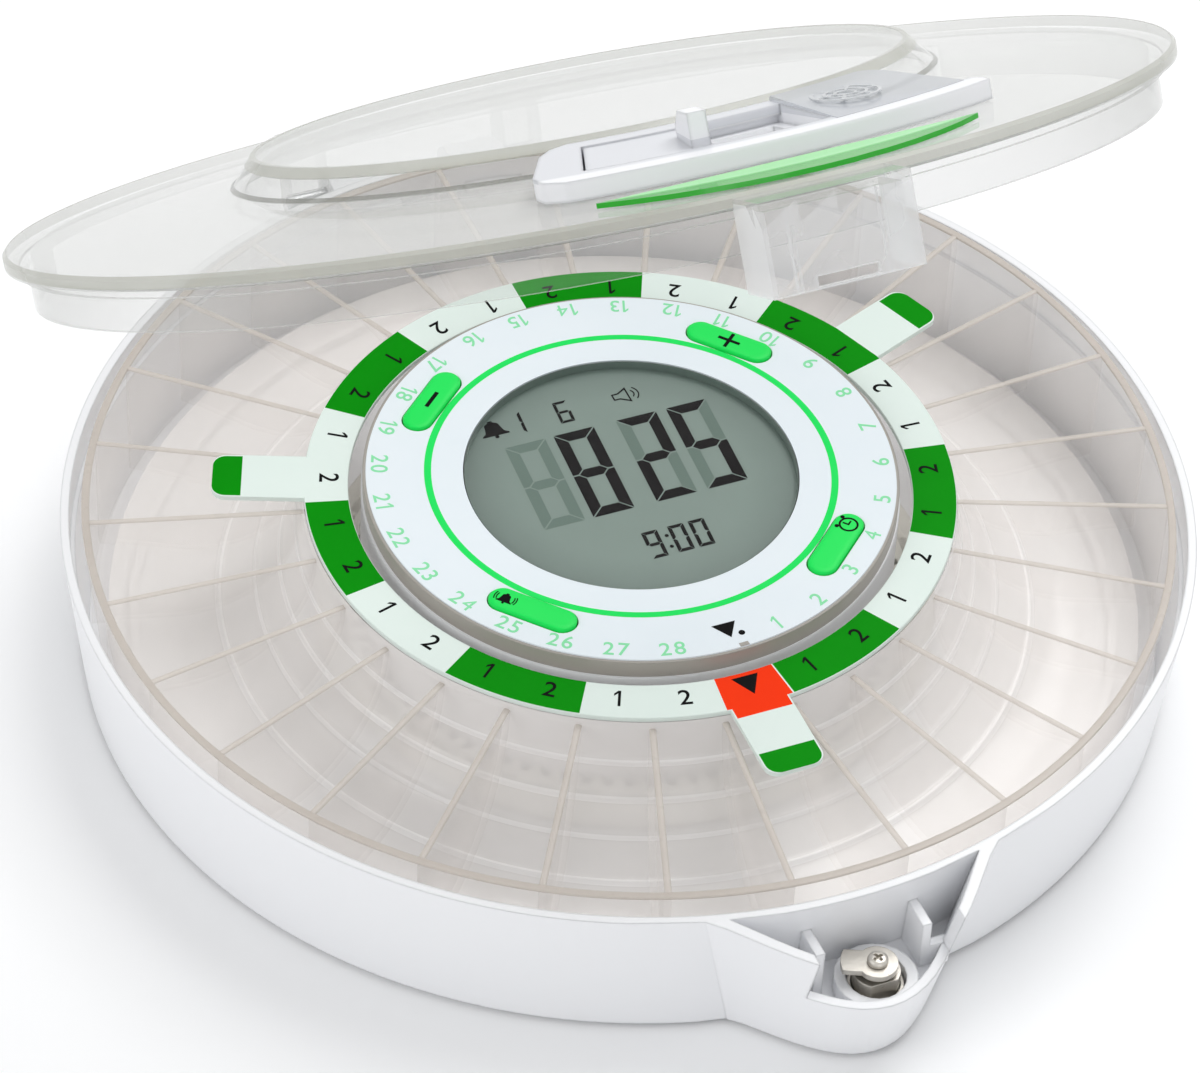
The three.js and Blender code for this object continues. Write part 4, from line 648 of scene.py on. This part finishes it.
def outlined(name, shapes, low, thick):
    """Flat shapes, each a list of x, y corners, stood up on a level to a thickness."""
    corners, faces, first = [], [], 0
    for shape in shapes:
        shape = np.asarray(shape, float)
        area = (shape[:, 0] * np.roll(shape[:, 1], -1) - np.roll(shape[:, 0], -1) * shape[:, 1]).sum()
        shape = shape if area > 0 else shape[::-1]
        count = len(shape)
        corners += [np.column_stack([shape, np.full(count, z)]) for z in (low, low + thick)]
        faces += tied(2, count, False, first).tolist()
        faces += [list(range(first, first + count))[::-1], list(range(first + count, first + 2 * count))]
        first += 2 * count
    return laid(name, np.concatenate(corners), faces, 20.0)


def glyph(sign, height):
    """A numeral's outline as flat triangles, its lower left corner at the origin. A one is a stem with a
    flag. The others come from the plain built-in face, drawn bolder but for the four, whose eye would
    close."""
    if sign == "1":
        stem = [[0.19, 0], [0.32, 0], [0.32, 1], [0.19, 1], [0.19, 0.84], [0.0, 0.66], [0.0, 0.8]]
        return np.array(stem) * height, np.array([[0, 1, 2], [0, 2, 4], [2, 3, 4], [4, 3, 5], [5, 3, 6]])
    text = bpy.data.curves.new("numeral", "FONT")
    text.body, text.size, text.resolution_u = sign, height * numeral_size, 4
    text.offset = 0.0 if sign == "4" else height * numeral_bold
    holder = bpy.data.objects.new("numeral", text)
    mesh = bpy.data.meshes.new_from_object(holder)
    mesh.calc_loop_triangles()
    corners = read(mesh.vertices, "co")[:, :2]
    faces = read(mesh.loop_triangles, "vertices", 3, int)
    bpy.data.objects.remove(holder)
    bpy.data.curves.remove(text)
    bpy.data.meshes.remove(mesh)
    return corners - corners.min(0), faces


def numeral_shapes(words, height):
    """Each word's glyphs side by side with a gap between them, the word centred at the origin."""
    out = []
    for word in words:
        corners, faces, across, first = [], [], 0.0, 0
        for flat, triangles in (glyph(sign, height) for sign in word):
            corners.append(flat + (across, 0))
            faces.append(triangles + first)
            across, first = across + flat[:, 0].max() + numeral_gap * height, first + len(flat)
        corners = np.concatenate(corners)
        out.append((corners - (corners.min(0) + corners.max(0)) / 2, np.concatenate(faces)))
    return out


def numerals(name, words, places, height, low, thick):
    """A mesh of numerals. Each place is a radius and an angle, with the numeral's top towards the axis. It
    has a face above and below, and a wall along each side that only one of its triangles has."""
    corners, faces, first = [], [], 0
    for (flat, triangles), (radius, degrees) in zip(numeral_shapes(words, height), places):
        laid_down = np.column_stack([flat[:, 0], flat[:, 1] - radius, np.full(len(flat), low)])
        corners.append(turned_by(np.concatenate([laid_down, laid_down + (0, 0, thick)]), degrees))
        sides, count = sides_of(triangles), len(flat)
        edge = sides[~np.isin(sides @ (count, 1), sides @ (1, count))]
        walls = np.column_stack([edge, edge[:, ::-1] + count]) + first
        faces += (triangles[:, ::-1] + first).tolist() + (triangles + count + first).tolist() + walls.tolist()
        first += 2 * count
    return laid(name, np.concatenate(corners), faces, 20.0)


fields = range(1, cell_count)
field_words = ["12"[(i - 1) % 2] for i in fields]
field_places = [(field_middle, i * cell_pitch) for i in fields]
field_mesh = numerals("dosage_ring_numbers", field_words, field_places, field_height, ring_high, print_thick)
placed(field_mesh, "tray", "label_print", ink_black)
front_mark = [[-2.6, -54.6], [2.6, -54.6], [0.0, -59.4]]
placed(outlined("dosage_ring_mark", [front_mark], ring_high, print_thick), "tray", "label_print", ink_black)


# The board and the display. A round green circuit board on the pod's posts carries the four key switches, a
# buzzer and the liquid crystal display in its black frame.
circuit = Finish("circuit_board")
track_grid = {"Vector": circuit.place, "Scale": 260.0, "Mortar Size": 0.03}
tracks = circuit.node("TexBrick", {"offset": 0.5}, track_grid, "Fac")
circuit.colour(tracks, (18, 92, 50), (150, 140, 70))
circuit.gloss(0.3, 0.2, 300.0)
dressed(circuit, "main_board")
dressed(black_plastic, "lcd_frame")
# The display's grey is painted darker towards its rim: painted shade under the window's edge.
lcd_grey = Finish("lcd_grey")
lcd_pale_end, lcd_dim_start = 0.022, 0.0325
lcd_painted_shade = lcd_grey.share(lcd_grey.reach(), lcd_pale_end, lcd_dim_start)
lcd_grey.colour(lcd_painted_shade, (120, 136, 128), (104, 119, 112))
lcd_grey.gloss(0.28, 0.08, 200.0)
lcd_radius, lcd_low, lcd_top, window_radius, window_top, plate_edge = 33.4, 34.5, 36.7, 31.7, 38.5, 0.15
window_gap, window_lift, sleeve_out, sleeve_in, sleeve_lift, sleeve_sink = 0.1, 0.07, 0.01, 0.09, 0.02, 0.06


def plate(name, radius, low, high):
    """A round plate with a small rounded edge at its top."""
    side, over = [[radius, low], [radius, high - plate_edge]], [radius - plate_edge, high]
    middle = [radius - plate_edge * 0.3, high - plate_edge * 0.3]
    return lathed(name, [*side, middle, over], 192, 20.0, joined=False)


placed(plate("lcd_plate", lcd_radius, lcd_low, lcd_top), "base", "lcd", lcd_grey, "lcd_glass")
segment_dark = printed("segment_dark", (24, 21, 22), (28, 25, 26), 0.4)
segment_ghost = printed("segment_ghost", (108, 124, 116), (111, 127, 119), 0.4)
lit_segments = {
    "0": "abcdef", "1": "bc", "2": "abged", "5": "afgcd", "6": "afgedc", "8": "abcdefg", "9": "abcfgd",
}


def segment(which, left, low, width, height, bar, gap):
    """The corners of one bar of a seven-bar digit, whose lower left corner is at left, low. Bars meet on a
    slant."""
    half, middle, top, right = bar / 2, low + height / 2, low + height, left + width
    if which == "g":
        shoulder = left + bar + gap
        tip, over, under = [left + half + gap, middle], [shoulder, middle + half], [shoulder, middle - half]
        return [tip, over] + [[left + right - x, y] for x, y in (over, tip, under)] + [under]
    if which in "ad":
        edge, inner = (top, top - bar) if which == "a" else (low, low + bar)
        start, end = left + gap, right - gap
        return [[start, edge], [end, edge], [end - bar, inner], [start + bar, inner]]
    side, inward = (left, 1) if which in "fe" else (right, -1)
    end, way = (top, 1) if which in "fb" else (low, -1)
    inner, shaft, near = side + inward * bar, side + inward * half, middle + way * gap
    far = [[side, end - way * gap], [inner, end - way * (gap + bar)]]
    return far + [[inner, near + way * half], [shaft, near], [side, near]]


def digit_bars(digit, across, low, width, height, bar, gap, slant, unlit=False):
    """The bars of a digit that are lit, or those that are not, leaning by the slant."""
    named = [n for n in "abcdefg" if (n in lit_segments[digit]) != unlit]
    bars = [np.array(segment(n, across, low, width, height, bar, gap)) for n in named]
    return [np.column_stack([b[:, 0] + (b[:, 1] - low) * slant, b[:, 1]]) for b in bars]


def ring_shape(x, y, radius, steps=20):
    """A round dot."""
    turn = np.linspace(0, 2 * np.pi, steps, endpoint=False)
    return np.column_stack([x + radius * np.cos(turn), y + radius * np.sin(turn)])


def arc_band(x, y, radius, thick, start, end, steps=10):
    """A band along an arc from one angle to another, counted from +X."""
    turn = np.radians(np.linspace(start, end, steps))
    rim = np.column_stack([np.cos(turn), np.sin(turn)])
    return np.concatenate([rim * (radius + thick / 2), rim[::-1] * (radius - thick / 2)]) + (x, y)


def bell_shape(x, y, size):
    """A bell seen from the side, with its clapper."""
    half = [[0.1, 0.5], [0.1, 0.42], [0.3, 0.3], [0.34, 0.05], [0.4, -0.18], [0.58, -0.32], [0.58, -0.38]]
    body = np.concatenate([half, (np.array(half) * (-1, 1))[::-1]]) * size + (x, y)
    return [body, ring_shape(x, y - 0.46 * size, 0.09 * size)]


# Foot, width, height, bar, gap and slant of each size of digit
big = (-7.4, 8.3, 23.6, 2.3, 0.2, 0.05)
small = (-21.6, 3.2, 7.2, 0.75, 0.09, 0.06)
tiny = (19.0, 2.9, 6.0, 0.6, 0.08, 0.06)
big_digits = [("8", -10.6, big), ("2", 2.3, big), ("5", 12.7, big)]
small_digits = [("9", -4.4, small), ("0", 0.9, small), ("0", 5.1, small)]
tiny_digits = [("1", -16.4, tiny), ("6", -6.6, tiny)]
lit_digits = big_digits + small_digits + tiny_digits
dark_shapes = sum((digit_bars(digit, across, *size) for digit, across, size in lit_digits), [])
ghost_shapes = sum((digit_bars(digit, across, *size, True) for digit, across, size in big_digits), [])
ghost_shapes += digit_bars("8", -20.6, *big)
dark_shapes += [ring_shape(0.2, -19.6, 0.4), ring_shape(0.4, -16.6, 0.4)]
dark_shapes += bell_shape(-19.5, 21.9, 4.7)
horn = [[5.4, 21.6], [6.7, 21.6], [8.7, 20.3], [8.7, 24.6], [6.7, 23.4], [5.4, 23.4]]
horn_bore = [[5.7, 21.9], [6.8, 21.9], [8.4, 20.9], [8.4, 24.0], [6.8, 23.1], [5.7, 23.1]]
horn_sides = np.stack([horn, np.roll(horn, -1, 0), np.roll(horn_bore, -1, 0), horn_bore], 1)
dark_shapes += [*horn_sides, *(arc_band(8.6, 22.5, radius, 0.26, -50, 50) for radius in (1.2, 2.1))]
placed(outlined("lcd_dark_bars", dark_shapes, lcd_top, 0.05), "base", "lcd", segment_dark)
placed(outlined("lcd_faint_bars", ghost_shapes, lcd_top, 0.02), "base", "lcd", segment_ghost)
lens_clear = clear("lens_clear", (0.99, 0.995, 0.995), (240, 244, 244), 0.0, 0.15, 3.0, 0.05)
window_mesh = plate("lcd_window_plate", window_radius - window_gap, lcd_top + window_lift, window_top)
placed(window_mesh, "base", "lcd_lens", lens_clear, "lcd_window")
window_sleeve = oblong(
    window_radius - sleeve_in, lcd_top + sleeve_lift, window_radius - sleeve_out, window_top - sleeve_sink
)
placed(lathed("lcd_window_edge", window_sleeve), "base", "lcd_lens", lcd_grey)


# The display cap and its face sheet. The white cap snaps over the pod, and a thin printed sheet is glued on
# it: a green ring round the window, the day numbers, and a black home mark with its dot at the front.
cap_white_end, cap_shade_start = 0.0502, 0.0504


def cap_side_shade(made):
    """1 on the cap's side, painted grey as painted shade, and 0 on its white top."""
    return made.share(made.reach(), cap_white_end, cap_shade_start)


# The cap's side and the notch at the face's edge are painted grey: painted shade in the narrow gap between
# the cap and the tray's collar.
pod_shade_grey = moulded("pod_shade_grey", (166, 161, 154), (174, 169, 162), 0.4, 0.3)
cap_finish = moulded("cap_white_and_painted_shade", (240, 241, 243), (168, 163, 156), 0.3, 0.3, mask=cap_side_shade)
rounded("display_cap", "base", "white_shell", cap_finish, facet=10.0)
face_print = printed("face_print", (236, 243, 248), (231, 240, 246), 0.32)
rounded("face_sheet", "base", "face_print", face_print, facet=10.0)
face_top, day_count, day_ring, day_height, day_turn = 38.6, 28, 47.7, 3.4, 0.9
ring_radius, ring_half, ring_edge = 38.6, 0.675, 0.01
ring_green = printed("ring_green", (30, 226, 95), (48, 234, 106))
day_green = printed("day_green", (138, 226, 170), (148, 230, 177))
days = range(1, day_count + 1)
day_places = [(day_ring, i * cell_pitch - day_turn) for i in days]
day_mesh = numerals("face_day_numbers", map(str, days), day_places, day_height, face_top, print_thick)
placed(day_mesh, "base", "face_print", day_green)
stroke = oblong(ring_radius - ring_half, face_top, ring_radius + ring_half, face_top + print_thick)
placed(lathed("face_ring", eased(stroke, ring_edge, 1)), "base", "face_print", ring_green)
home_shapes = [[[-2.1, -43.6], [2.6, -43.6], [0.35, -47.4]], ring_shape(2.6, -46.9, 0.62)]
placed(outlined("face_home_mark", home_shapes, face_top, print_thick), "base", "face_print", ink_black)
edge_notch = [[1.0, -50.25], [2.8, -50.2], [2.75, -49.3], [0.95, -49.35]]
placed(outlined("face_edge_notch", [edge_notch], face_top, print_thick), "base", "face_print", pod_shade_grey)


# The keys. Four soft green capsule caps stand a little over the face on flanges under the cap, each with a
# black sign: plus, minus, a bell for the alarms and a clock for the time.
key_ring, key_length, key_width, key_low, key_top = 42.4, 17.6, 5.6, 35.3, 39.2
key_flange, key_flange_top, key_points, sign_lift = 1.2, 36.4, 48, 0.003
key_green = moulded("key_green", (10, 226, 84), (24, 236, 98), 0.36, 0.2)
sign_shift = {"bell": -5.6, "clock": 5.6}
key_angles = {"plus": 131.0, "minus": -137.7, "bell": -47.8, "clock": 42.0}
bell_arcs = [(radius, way) for radius in (1.75, 2.2) for way in (0, 180)]
key_signs = {
    "plus": [
        oblong(-2.3, -0.35, 2.3, 0.35),
        oblong(-0.35, 0.35, 0.35, 2.1),
        oblong(-0.35, -2.1, 0.35, -0.35),
    ],
    "minus": [oblong(-2.3, -0.4, 2.3, 0.4)],
    "bell": [
        *bell_shape(0.0, 0.0, 2.7),
        *(arc_band(0.0, 0.1, radius, 0.22, way - 26, way + 26) for radius, way in bell_arcs),
    ],
    "clock": [
        arc_band(0.0, -0.1, 1.7, 0.4, 0, 359, 28),
        oblong(-0.18, -0.25, 0.18, 1.1),
        oblong(0.1, -0.25, 1.05, 0.08),
        ring_shape(-1.35, 1.75, 0.42),
        ring_shape(1.35, 1.75, 0.42),
    ],
}


def capsule(inset):
    """A key's round-ended outline, drawn in by the inset: half circles of half the width about its ends."""
    turn = np.linspace(0, 2 * np.pi, key_points, endpoint=False)
    radius = key_width / 2 - inset
    x = radius * np.cos(turn) + np.sign(np.cos(turn)) * (key_length - key_width) / 2
    return np.column_stack([x, radius * np.sin(turn)])


# Inset and height of each row up a key, from the flange's foot over its rounded edge to the flat top
key_rows = [
    [-key_flange, key_low], [-key_flange, key_flange_top], [0.0, key_flange_top], [0.0, key_top - 0.3],
    [0.1, key_top - 0.12], [0.3, key_top - 0.02], [1.2, key_top], [2.6, key_top],
]
key_loops = np.stack([
    np.column_stack([capsule(inset) - (0, key_ring), np.full(key_points, z)]) for inset, z in key_rows
])
for key, angle in key_angles.items():
    key_mesh = skinned(key + "_key_cap", turned_by(key_loops, angle))
    placed(key_mesh, key + "_button", "green_key", key_green, key + "_key")
    signs = [np.asarray(sign) + (sign_shift.get(key, 0.0), -key_ring) for sign in key_signs[key]]
    sign_mesh = outlined(key + "_key_sign", signs, key_top + sign_lift, print_thick - sign_lift)
    sign_mesh = reshaped(sign_mesh, lambda points: turned_by(points, angle))
    placed(sign_mesh, key + "_button", "green_key", ink_black)


# The cam lock. A nickel-plated barrel with two flats stands in the bay floor under a round nut, and the key
# turns its plug with the cam, a flat plate with one lobe that is held by a cross-head screw.
lock_place = (0.6, -115.0)
for part, body, core in (("lock_barrel", "base", 2.0), ("lock_nut", "base", 2.0), ("lock_plug", "lock", 1.8)):
    rounded(part, body, "nickel", nickel, centre=lock_place, facet=37.0, core=core)
rounded("lock_cam", "lock", "nickel", nickel, centre=lock_place, facet=20.0, core=1.0)
screw_low, screw_seat, shank_radius, head_radius, head_edge, head_rise = 16.6, 20.7, 0.95, 1.9, 0.35, 1.25
head_round, cross_reach, cross_half, cross_depth, cross_turn = 0.97, 1.05, 0.24, 0.75, np.radians(20.0)
cross_end, cross_soft = 0.3, 0.06
head_run = np.linspace(1.0, 0.02, 44)[:, None]
head_turns = np.arange(128) * 2 * np.pi / 128


def pit(along, beside):
    """One slot of the cross: full depth near the middle, sloping up to nothing at its reach and its sides."""
    ends = np.clip((cross_reach - np.abs(along)) / cross_end, 0, 1)
    sides = np.clip((cross_half + cross_soft - np.abs(beside)) / (2 * cross_soft), 0, 1)
    return cross_depth * ends * sides


def on_screw(radius, height):
    """Loops of points round the screw's axis."""
    x, y = (radius * f(head_turns + cross_turn) for f in (np.cos, np.sin))
    return np.stack([x + lock_place[0], y + lock_place[1], height + 0 * x], -1)


arm_x, arm_y = (head_run * head_radius * f(head_turns) for f in (np.cos, np.sin))
head_z = screw_seat + head_edge + (head_rise - head_edge) * np.sqrt(1 - head_round * head_run**4)
head = on_screw(head_run * head_radius, head_z - np.maximum(pit(arm_x, arm_y), pit(arm_y, arm_x)))
shank_rows = np.array([[shank_radius, screw_low], [shank_radius, screw_seat], [head_radius, screw_seat]])
shank = on_screw(shank_rows[:, :1], shank_rows[:, 1:])
screw_mesh = skinned("cam_screw_fine", np.concatenate([shank, head]), crease=35.0)
placed(screw_mesh, "lock", "nickel", nickel, "cam_screw")


# The lid. One clear moulding on the hinge behind the base: a flat raised dome, a conical flange with a
# stepped edge, a thin skirt, and a latch box at its front that drops over the cam. It is 34 degrees open.
hinge_y, hinge_z = 116.6, 20.4
open_turn = np.radians(34.0)
latch_top, latch_back, latch_half = 32.8, -108.0, 13.8


def swung(points, turn=open_turn):
    """Points turned about the hinge pin by an angle, front edge up."""
    y, z, cosine, sine = points[:, 1] - hinge_y, points[:, 2] - hinge_z, np.cos(turn), np.sin(turn)
    return np.column_stack([points[:, 0], hinge_y + y * cosine + z * sine, hinge_z - y * sine + z * cosine])


def rounded_on_lid(node, body, slot, finish, crease=12.0):
    """The fine form of a node of the lid, worked out with the lid shut and swung open again."""
    corners, faces = welded(node)
    corners, faces = finer(swung(corners, -open_turn), faces)
    return placed(laid(node + "_fine", swung(corners), faces, crease), body, slot, finish, node)


lid_clear = clear("lid_clear", (0.965, 0.965, 0.963), (212, 213, 211), 0.05, 0.75, 2.2, 0.06, 0.02)
latch_clear = clear("latch_clear", (0.985, 0.985, 0.985), (240, 241, 242), 0.22, 0.7, 1.5, 0.1, 0.1)
lid_mesh = rounded_on_lid("lid", "lid", "clear_plastic", [lid_clear, latch_clear], 3.0).data
lid_faces = swung(read(lid_mesh.polygons, "center") / MM, -open_turn)
in_latch = (lid_faces[:, 2] < latch_top) & (lid_faces[:, 1] < latch_back)
in_latch &= np.abs(lid_faces[:, 0] - lock_place[0]) < latch_half
inked(lid_mesh, in_latch)


def edge_tone(name, low, high, alpha):
    """A painted tone for a thick clear edge: painted light where the light that has run along inside the
    sheet comes out, and painted reflection.
    """
    made = Finish(name, Alpha=alpha, Specular_IOR_Level=0.4)
    made.colour(made.noise(25.0), low, high)
    made.gloss(0.1, 0.12, 80.0)
    return made


# Thin rings along the lid's edges are painted light: olive bands where light comes out of the thick clear
# edges, and dark lines at the dome's foot and the flange's step, a painted reflection of the dark
# surroundings.
edge_light_olive = edge_tone("edge_light_olive", (190, 191, 180), (210, 211, 202), 0.5)
edge_dark_reflection = edge_tone("edge_dark_reflection", (128, 130, 122), (160, 161, 153), 0.5)
lid_edges = {
    "lid_dome_rim": (edge_light_olive, [[60.7, 43.4], [60.7, 43.94], [61.62, 43.94], [63.0, 42.3], [62.5, 42.0]]),
    "lid_dome_foot": (edge_dark_reflection, [[65.5, 38.5], [65.55, 39.25], [66.3, 38.76], [66.4, 38.5]]),
    "lid_flange_rim": (
        edge_light_olive,
        [[108.9, 35.2], [108.9, 35.57], [109.09, 35.54], [109.73, 34.9], [109.73, 33.4], [109.3, 33.4]],
    ),
    "lid_flange_step": (edge_dark_reflection, oblong(106.9, 32.5, 107.13, 32.9)),
}
for edge_name, (tone, profile) in lid_edges.items():
    placed(reshaped(lathed(edge_name, profile), swung), "lid", "clear_plastic", tone)


# The dispensing frame and its gate. A white crescent is fixed on the lid over the pouring opening, and the
# gate slides round in it by its thumb knob. A thin green crescent trims the lid's front edge.
cone_low, cone_rise, cone_outer, cone_inner = 35.5, 3.2, 109.7, 66.0
cone_slope = cone_rise / (cone_outer - cone_inner)
inner_top_radii, inner_top_levels = (0.0898, 0.0888), (0.0034, 0.0054)
trim_tip_radius, trim_bow, trim_highlight_fade = 0.1015, 0.0022, 0.0012
trim_middle, trim_half = np.sin(np.radians([2.0, 20.5]))


def shut_place(made):
    """For a material of the lid: the point's place with the lid shut, turned back about the hinge."""
    hinge = np.array([0.0, hinge_y, hinge_z]) * MM
    back = np.array(Matrix.Rotation(open_turn, 3, "X")) @ hinge
    settings = {"Rotation": (open_turn, 0.0, 0.0), "Location": tuple(hinge - back)}
    return made.node("Mapping", inputs={"Vector": made.place, **settings})


def frame_inner_top_shade(made):
    """1 on the narrow top face inside the frame's rim, between two levels over the lid's cone, painted grey
    as painted shade, and else 0.
    """
    shut = shut_place(made)
    radius = made.reach(shut)
    height = made.along("Z", shut)
    level = height + cone_slope * radius - (cone_low + cone_slope * cone_outer) * MM
    on_top = (level > inner_top_levels[0]) * (1.0 - (level > inner_top_levels[1]))
    return made.share(radius, *inner_top_radii) * on_top


# The frame is white, with painted shade: the narrow top face inside its rim is painted grey.
frame_white = moulded(
    "frame_white", (240, 241, 244), (214, 216, 221), 0.3, 0.5, 0.0011, mask=frame_inner_top_shade
)
rounded_on_lid("dispense_frame", "lid", "white_shell", frame_white, 40.0)
rounded_on_lid("dispense_gate", "gate", "white_shell", frame_white, 40.0)
# The trim is green, with a painted highlight: its inner, upper band, past a bowed line near its tip, is
# painted pale green.
trim_green = Finish("trim_green", Specular_IOR_Level=0.6)
trim_radius = trim_green.reach(shut_place(trim_green))
trim_across = trim_green.along("X")
trim_share = (trim_across / trim_radius - trim_middle) / trim_half
trim_highlight_line = trim_tip_radius + trim_bow * (1.0 - trim_share * trim_share)
trim_highlight = trim_green.share(trim_highlight_line - trim_radius, 0.0, trim_highlight_fade)
trim_green.colour(trim_highlight, (2, 172, 8), (160, 236, 162))
trim_green.gloss(0.12, 0.06, 60.0)
rounded_on_lid("front_trim", "lid", "green_trim", trim_green)


# The clear inlay. To the right of the pouring opening the frame is only a rim, and a thick clear plate with a
# small clear wheel under it fills the space up to the dome.
inlay_foot, inlay_front, inlay_back, inlay_inner, inlay_outer = 0.45, 4.1, 6.0, 67.9, 89.2
inlay_start, inlay_end, inlay_round, inlay_corner, inlay_bevel = 10.2, 29.6, 3.0, 5.0, 0.4
wheel_radius, wheel_angle, wheel_size, wheel_low, wheel_thick = 78.5, 17.0, 6.0, 5.25, 0.25
wheel_bands, band_width, arm_width = (1, 0.62, 0.3), 0.6, 9


def coned(points):
    """Points whose heights are counted from the lid's cone: cone foot + slope (outer - r)."""
    reach = np.hypot(points[..., 0], points[..., 1])
    height = cone_low + cone_slope * (cone_outer - reach)
    return np.concatenate([points[..., :2], points[..., 2:] + height[..., None]], -1)


inlay_smoke = clear("inlay_smoke", (0.93, 0.935, 0.94), (196, 199, 203), 0.3, 0.75, 1.5, 0.08, 0.15)
inlay_straight = inlay_end - inlay_round
round_turns = inlay_straight + inlay_round * np.sin(np.linspace(0.2, np.pi / 2, 8))
inlay_turns = np.concatenate([np.linspace(inlay_start, inlay_straight, 24), round_turns])
corner_share = np.clip((inlay_turns - inlay_straight) / inlay_round, 0, 1)
inlay_rear = inlay_inner + inlay_corner * (1 - np.sqrt(1 - 0.98 * corner_share**2))
inlay_fore = np.full(len(inlay_turns), inlay_outer)
inlay_radii = np.stack([inlay_rear, inlay_rear, inlay_rear + inlay_bevel, inlay_fore, inlay_fore], -1)
inlay_drop = (inlay_radii - inlay_inner) / (inlay_outer - inlay_inner)
inlay_high = inlay_back + (inlay_front - inlay_back) * inlay_drop
inlay_rows = inlay_foot + (inlay_high - inlay_foot) * np.array([0.0, 0.92, 1.0, 1.0, 0.0])
inlay_mesh = skinned("frame_inlay", coned(around(inlay_radii, inlay_turns[:, None], inlay_rows)))
placed(reshaped(inlay_mesh, swung), "lid", "clear_plastic", inlay_smoke)
wheel_x, wheel_y = around(wheel_radius, wheel_angle, 0.0)[:2]
wheel_shapes = [
    arc_band(wheel_x, wheel_y, wheel_size * share, band_width, 0, 359.9, 40) for share in wheel_bands
]
arm_middle, arm_length = (wheel_size + 1.4) / 2, wheel_size - 1.6
for turn in range(0, 360, 60):
    wheel_shapes.append(arc_band(wheel_x, wheel_y, arm_middle, arm_length, turn, turn + arm_width, 3))
wheel_mesh = outlined("frame_inlay_wheel", wheel_shapes, wheel_low, wheel_thick)
wheel_clear = edge_tone("wheel_clear", (214, 217, 220), (230, 232, 234), 0.6)
placed(reshaped(reshaped(wheel_mesh, coned), swung), "lid", "clear_plastic", wheel_clear)
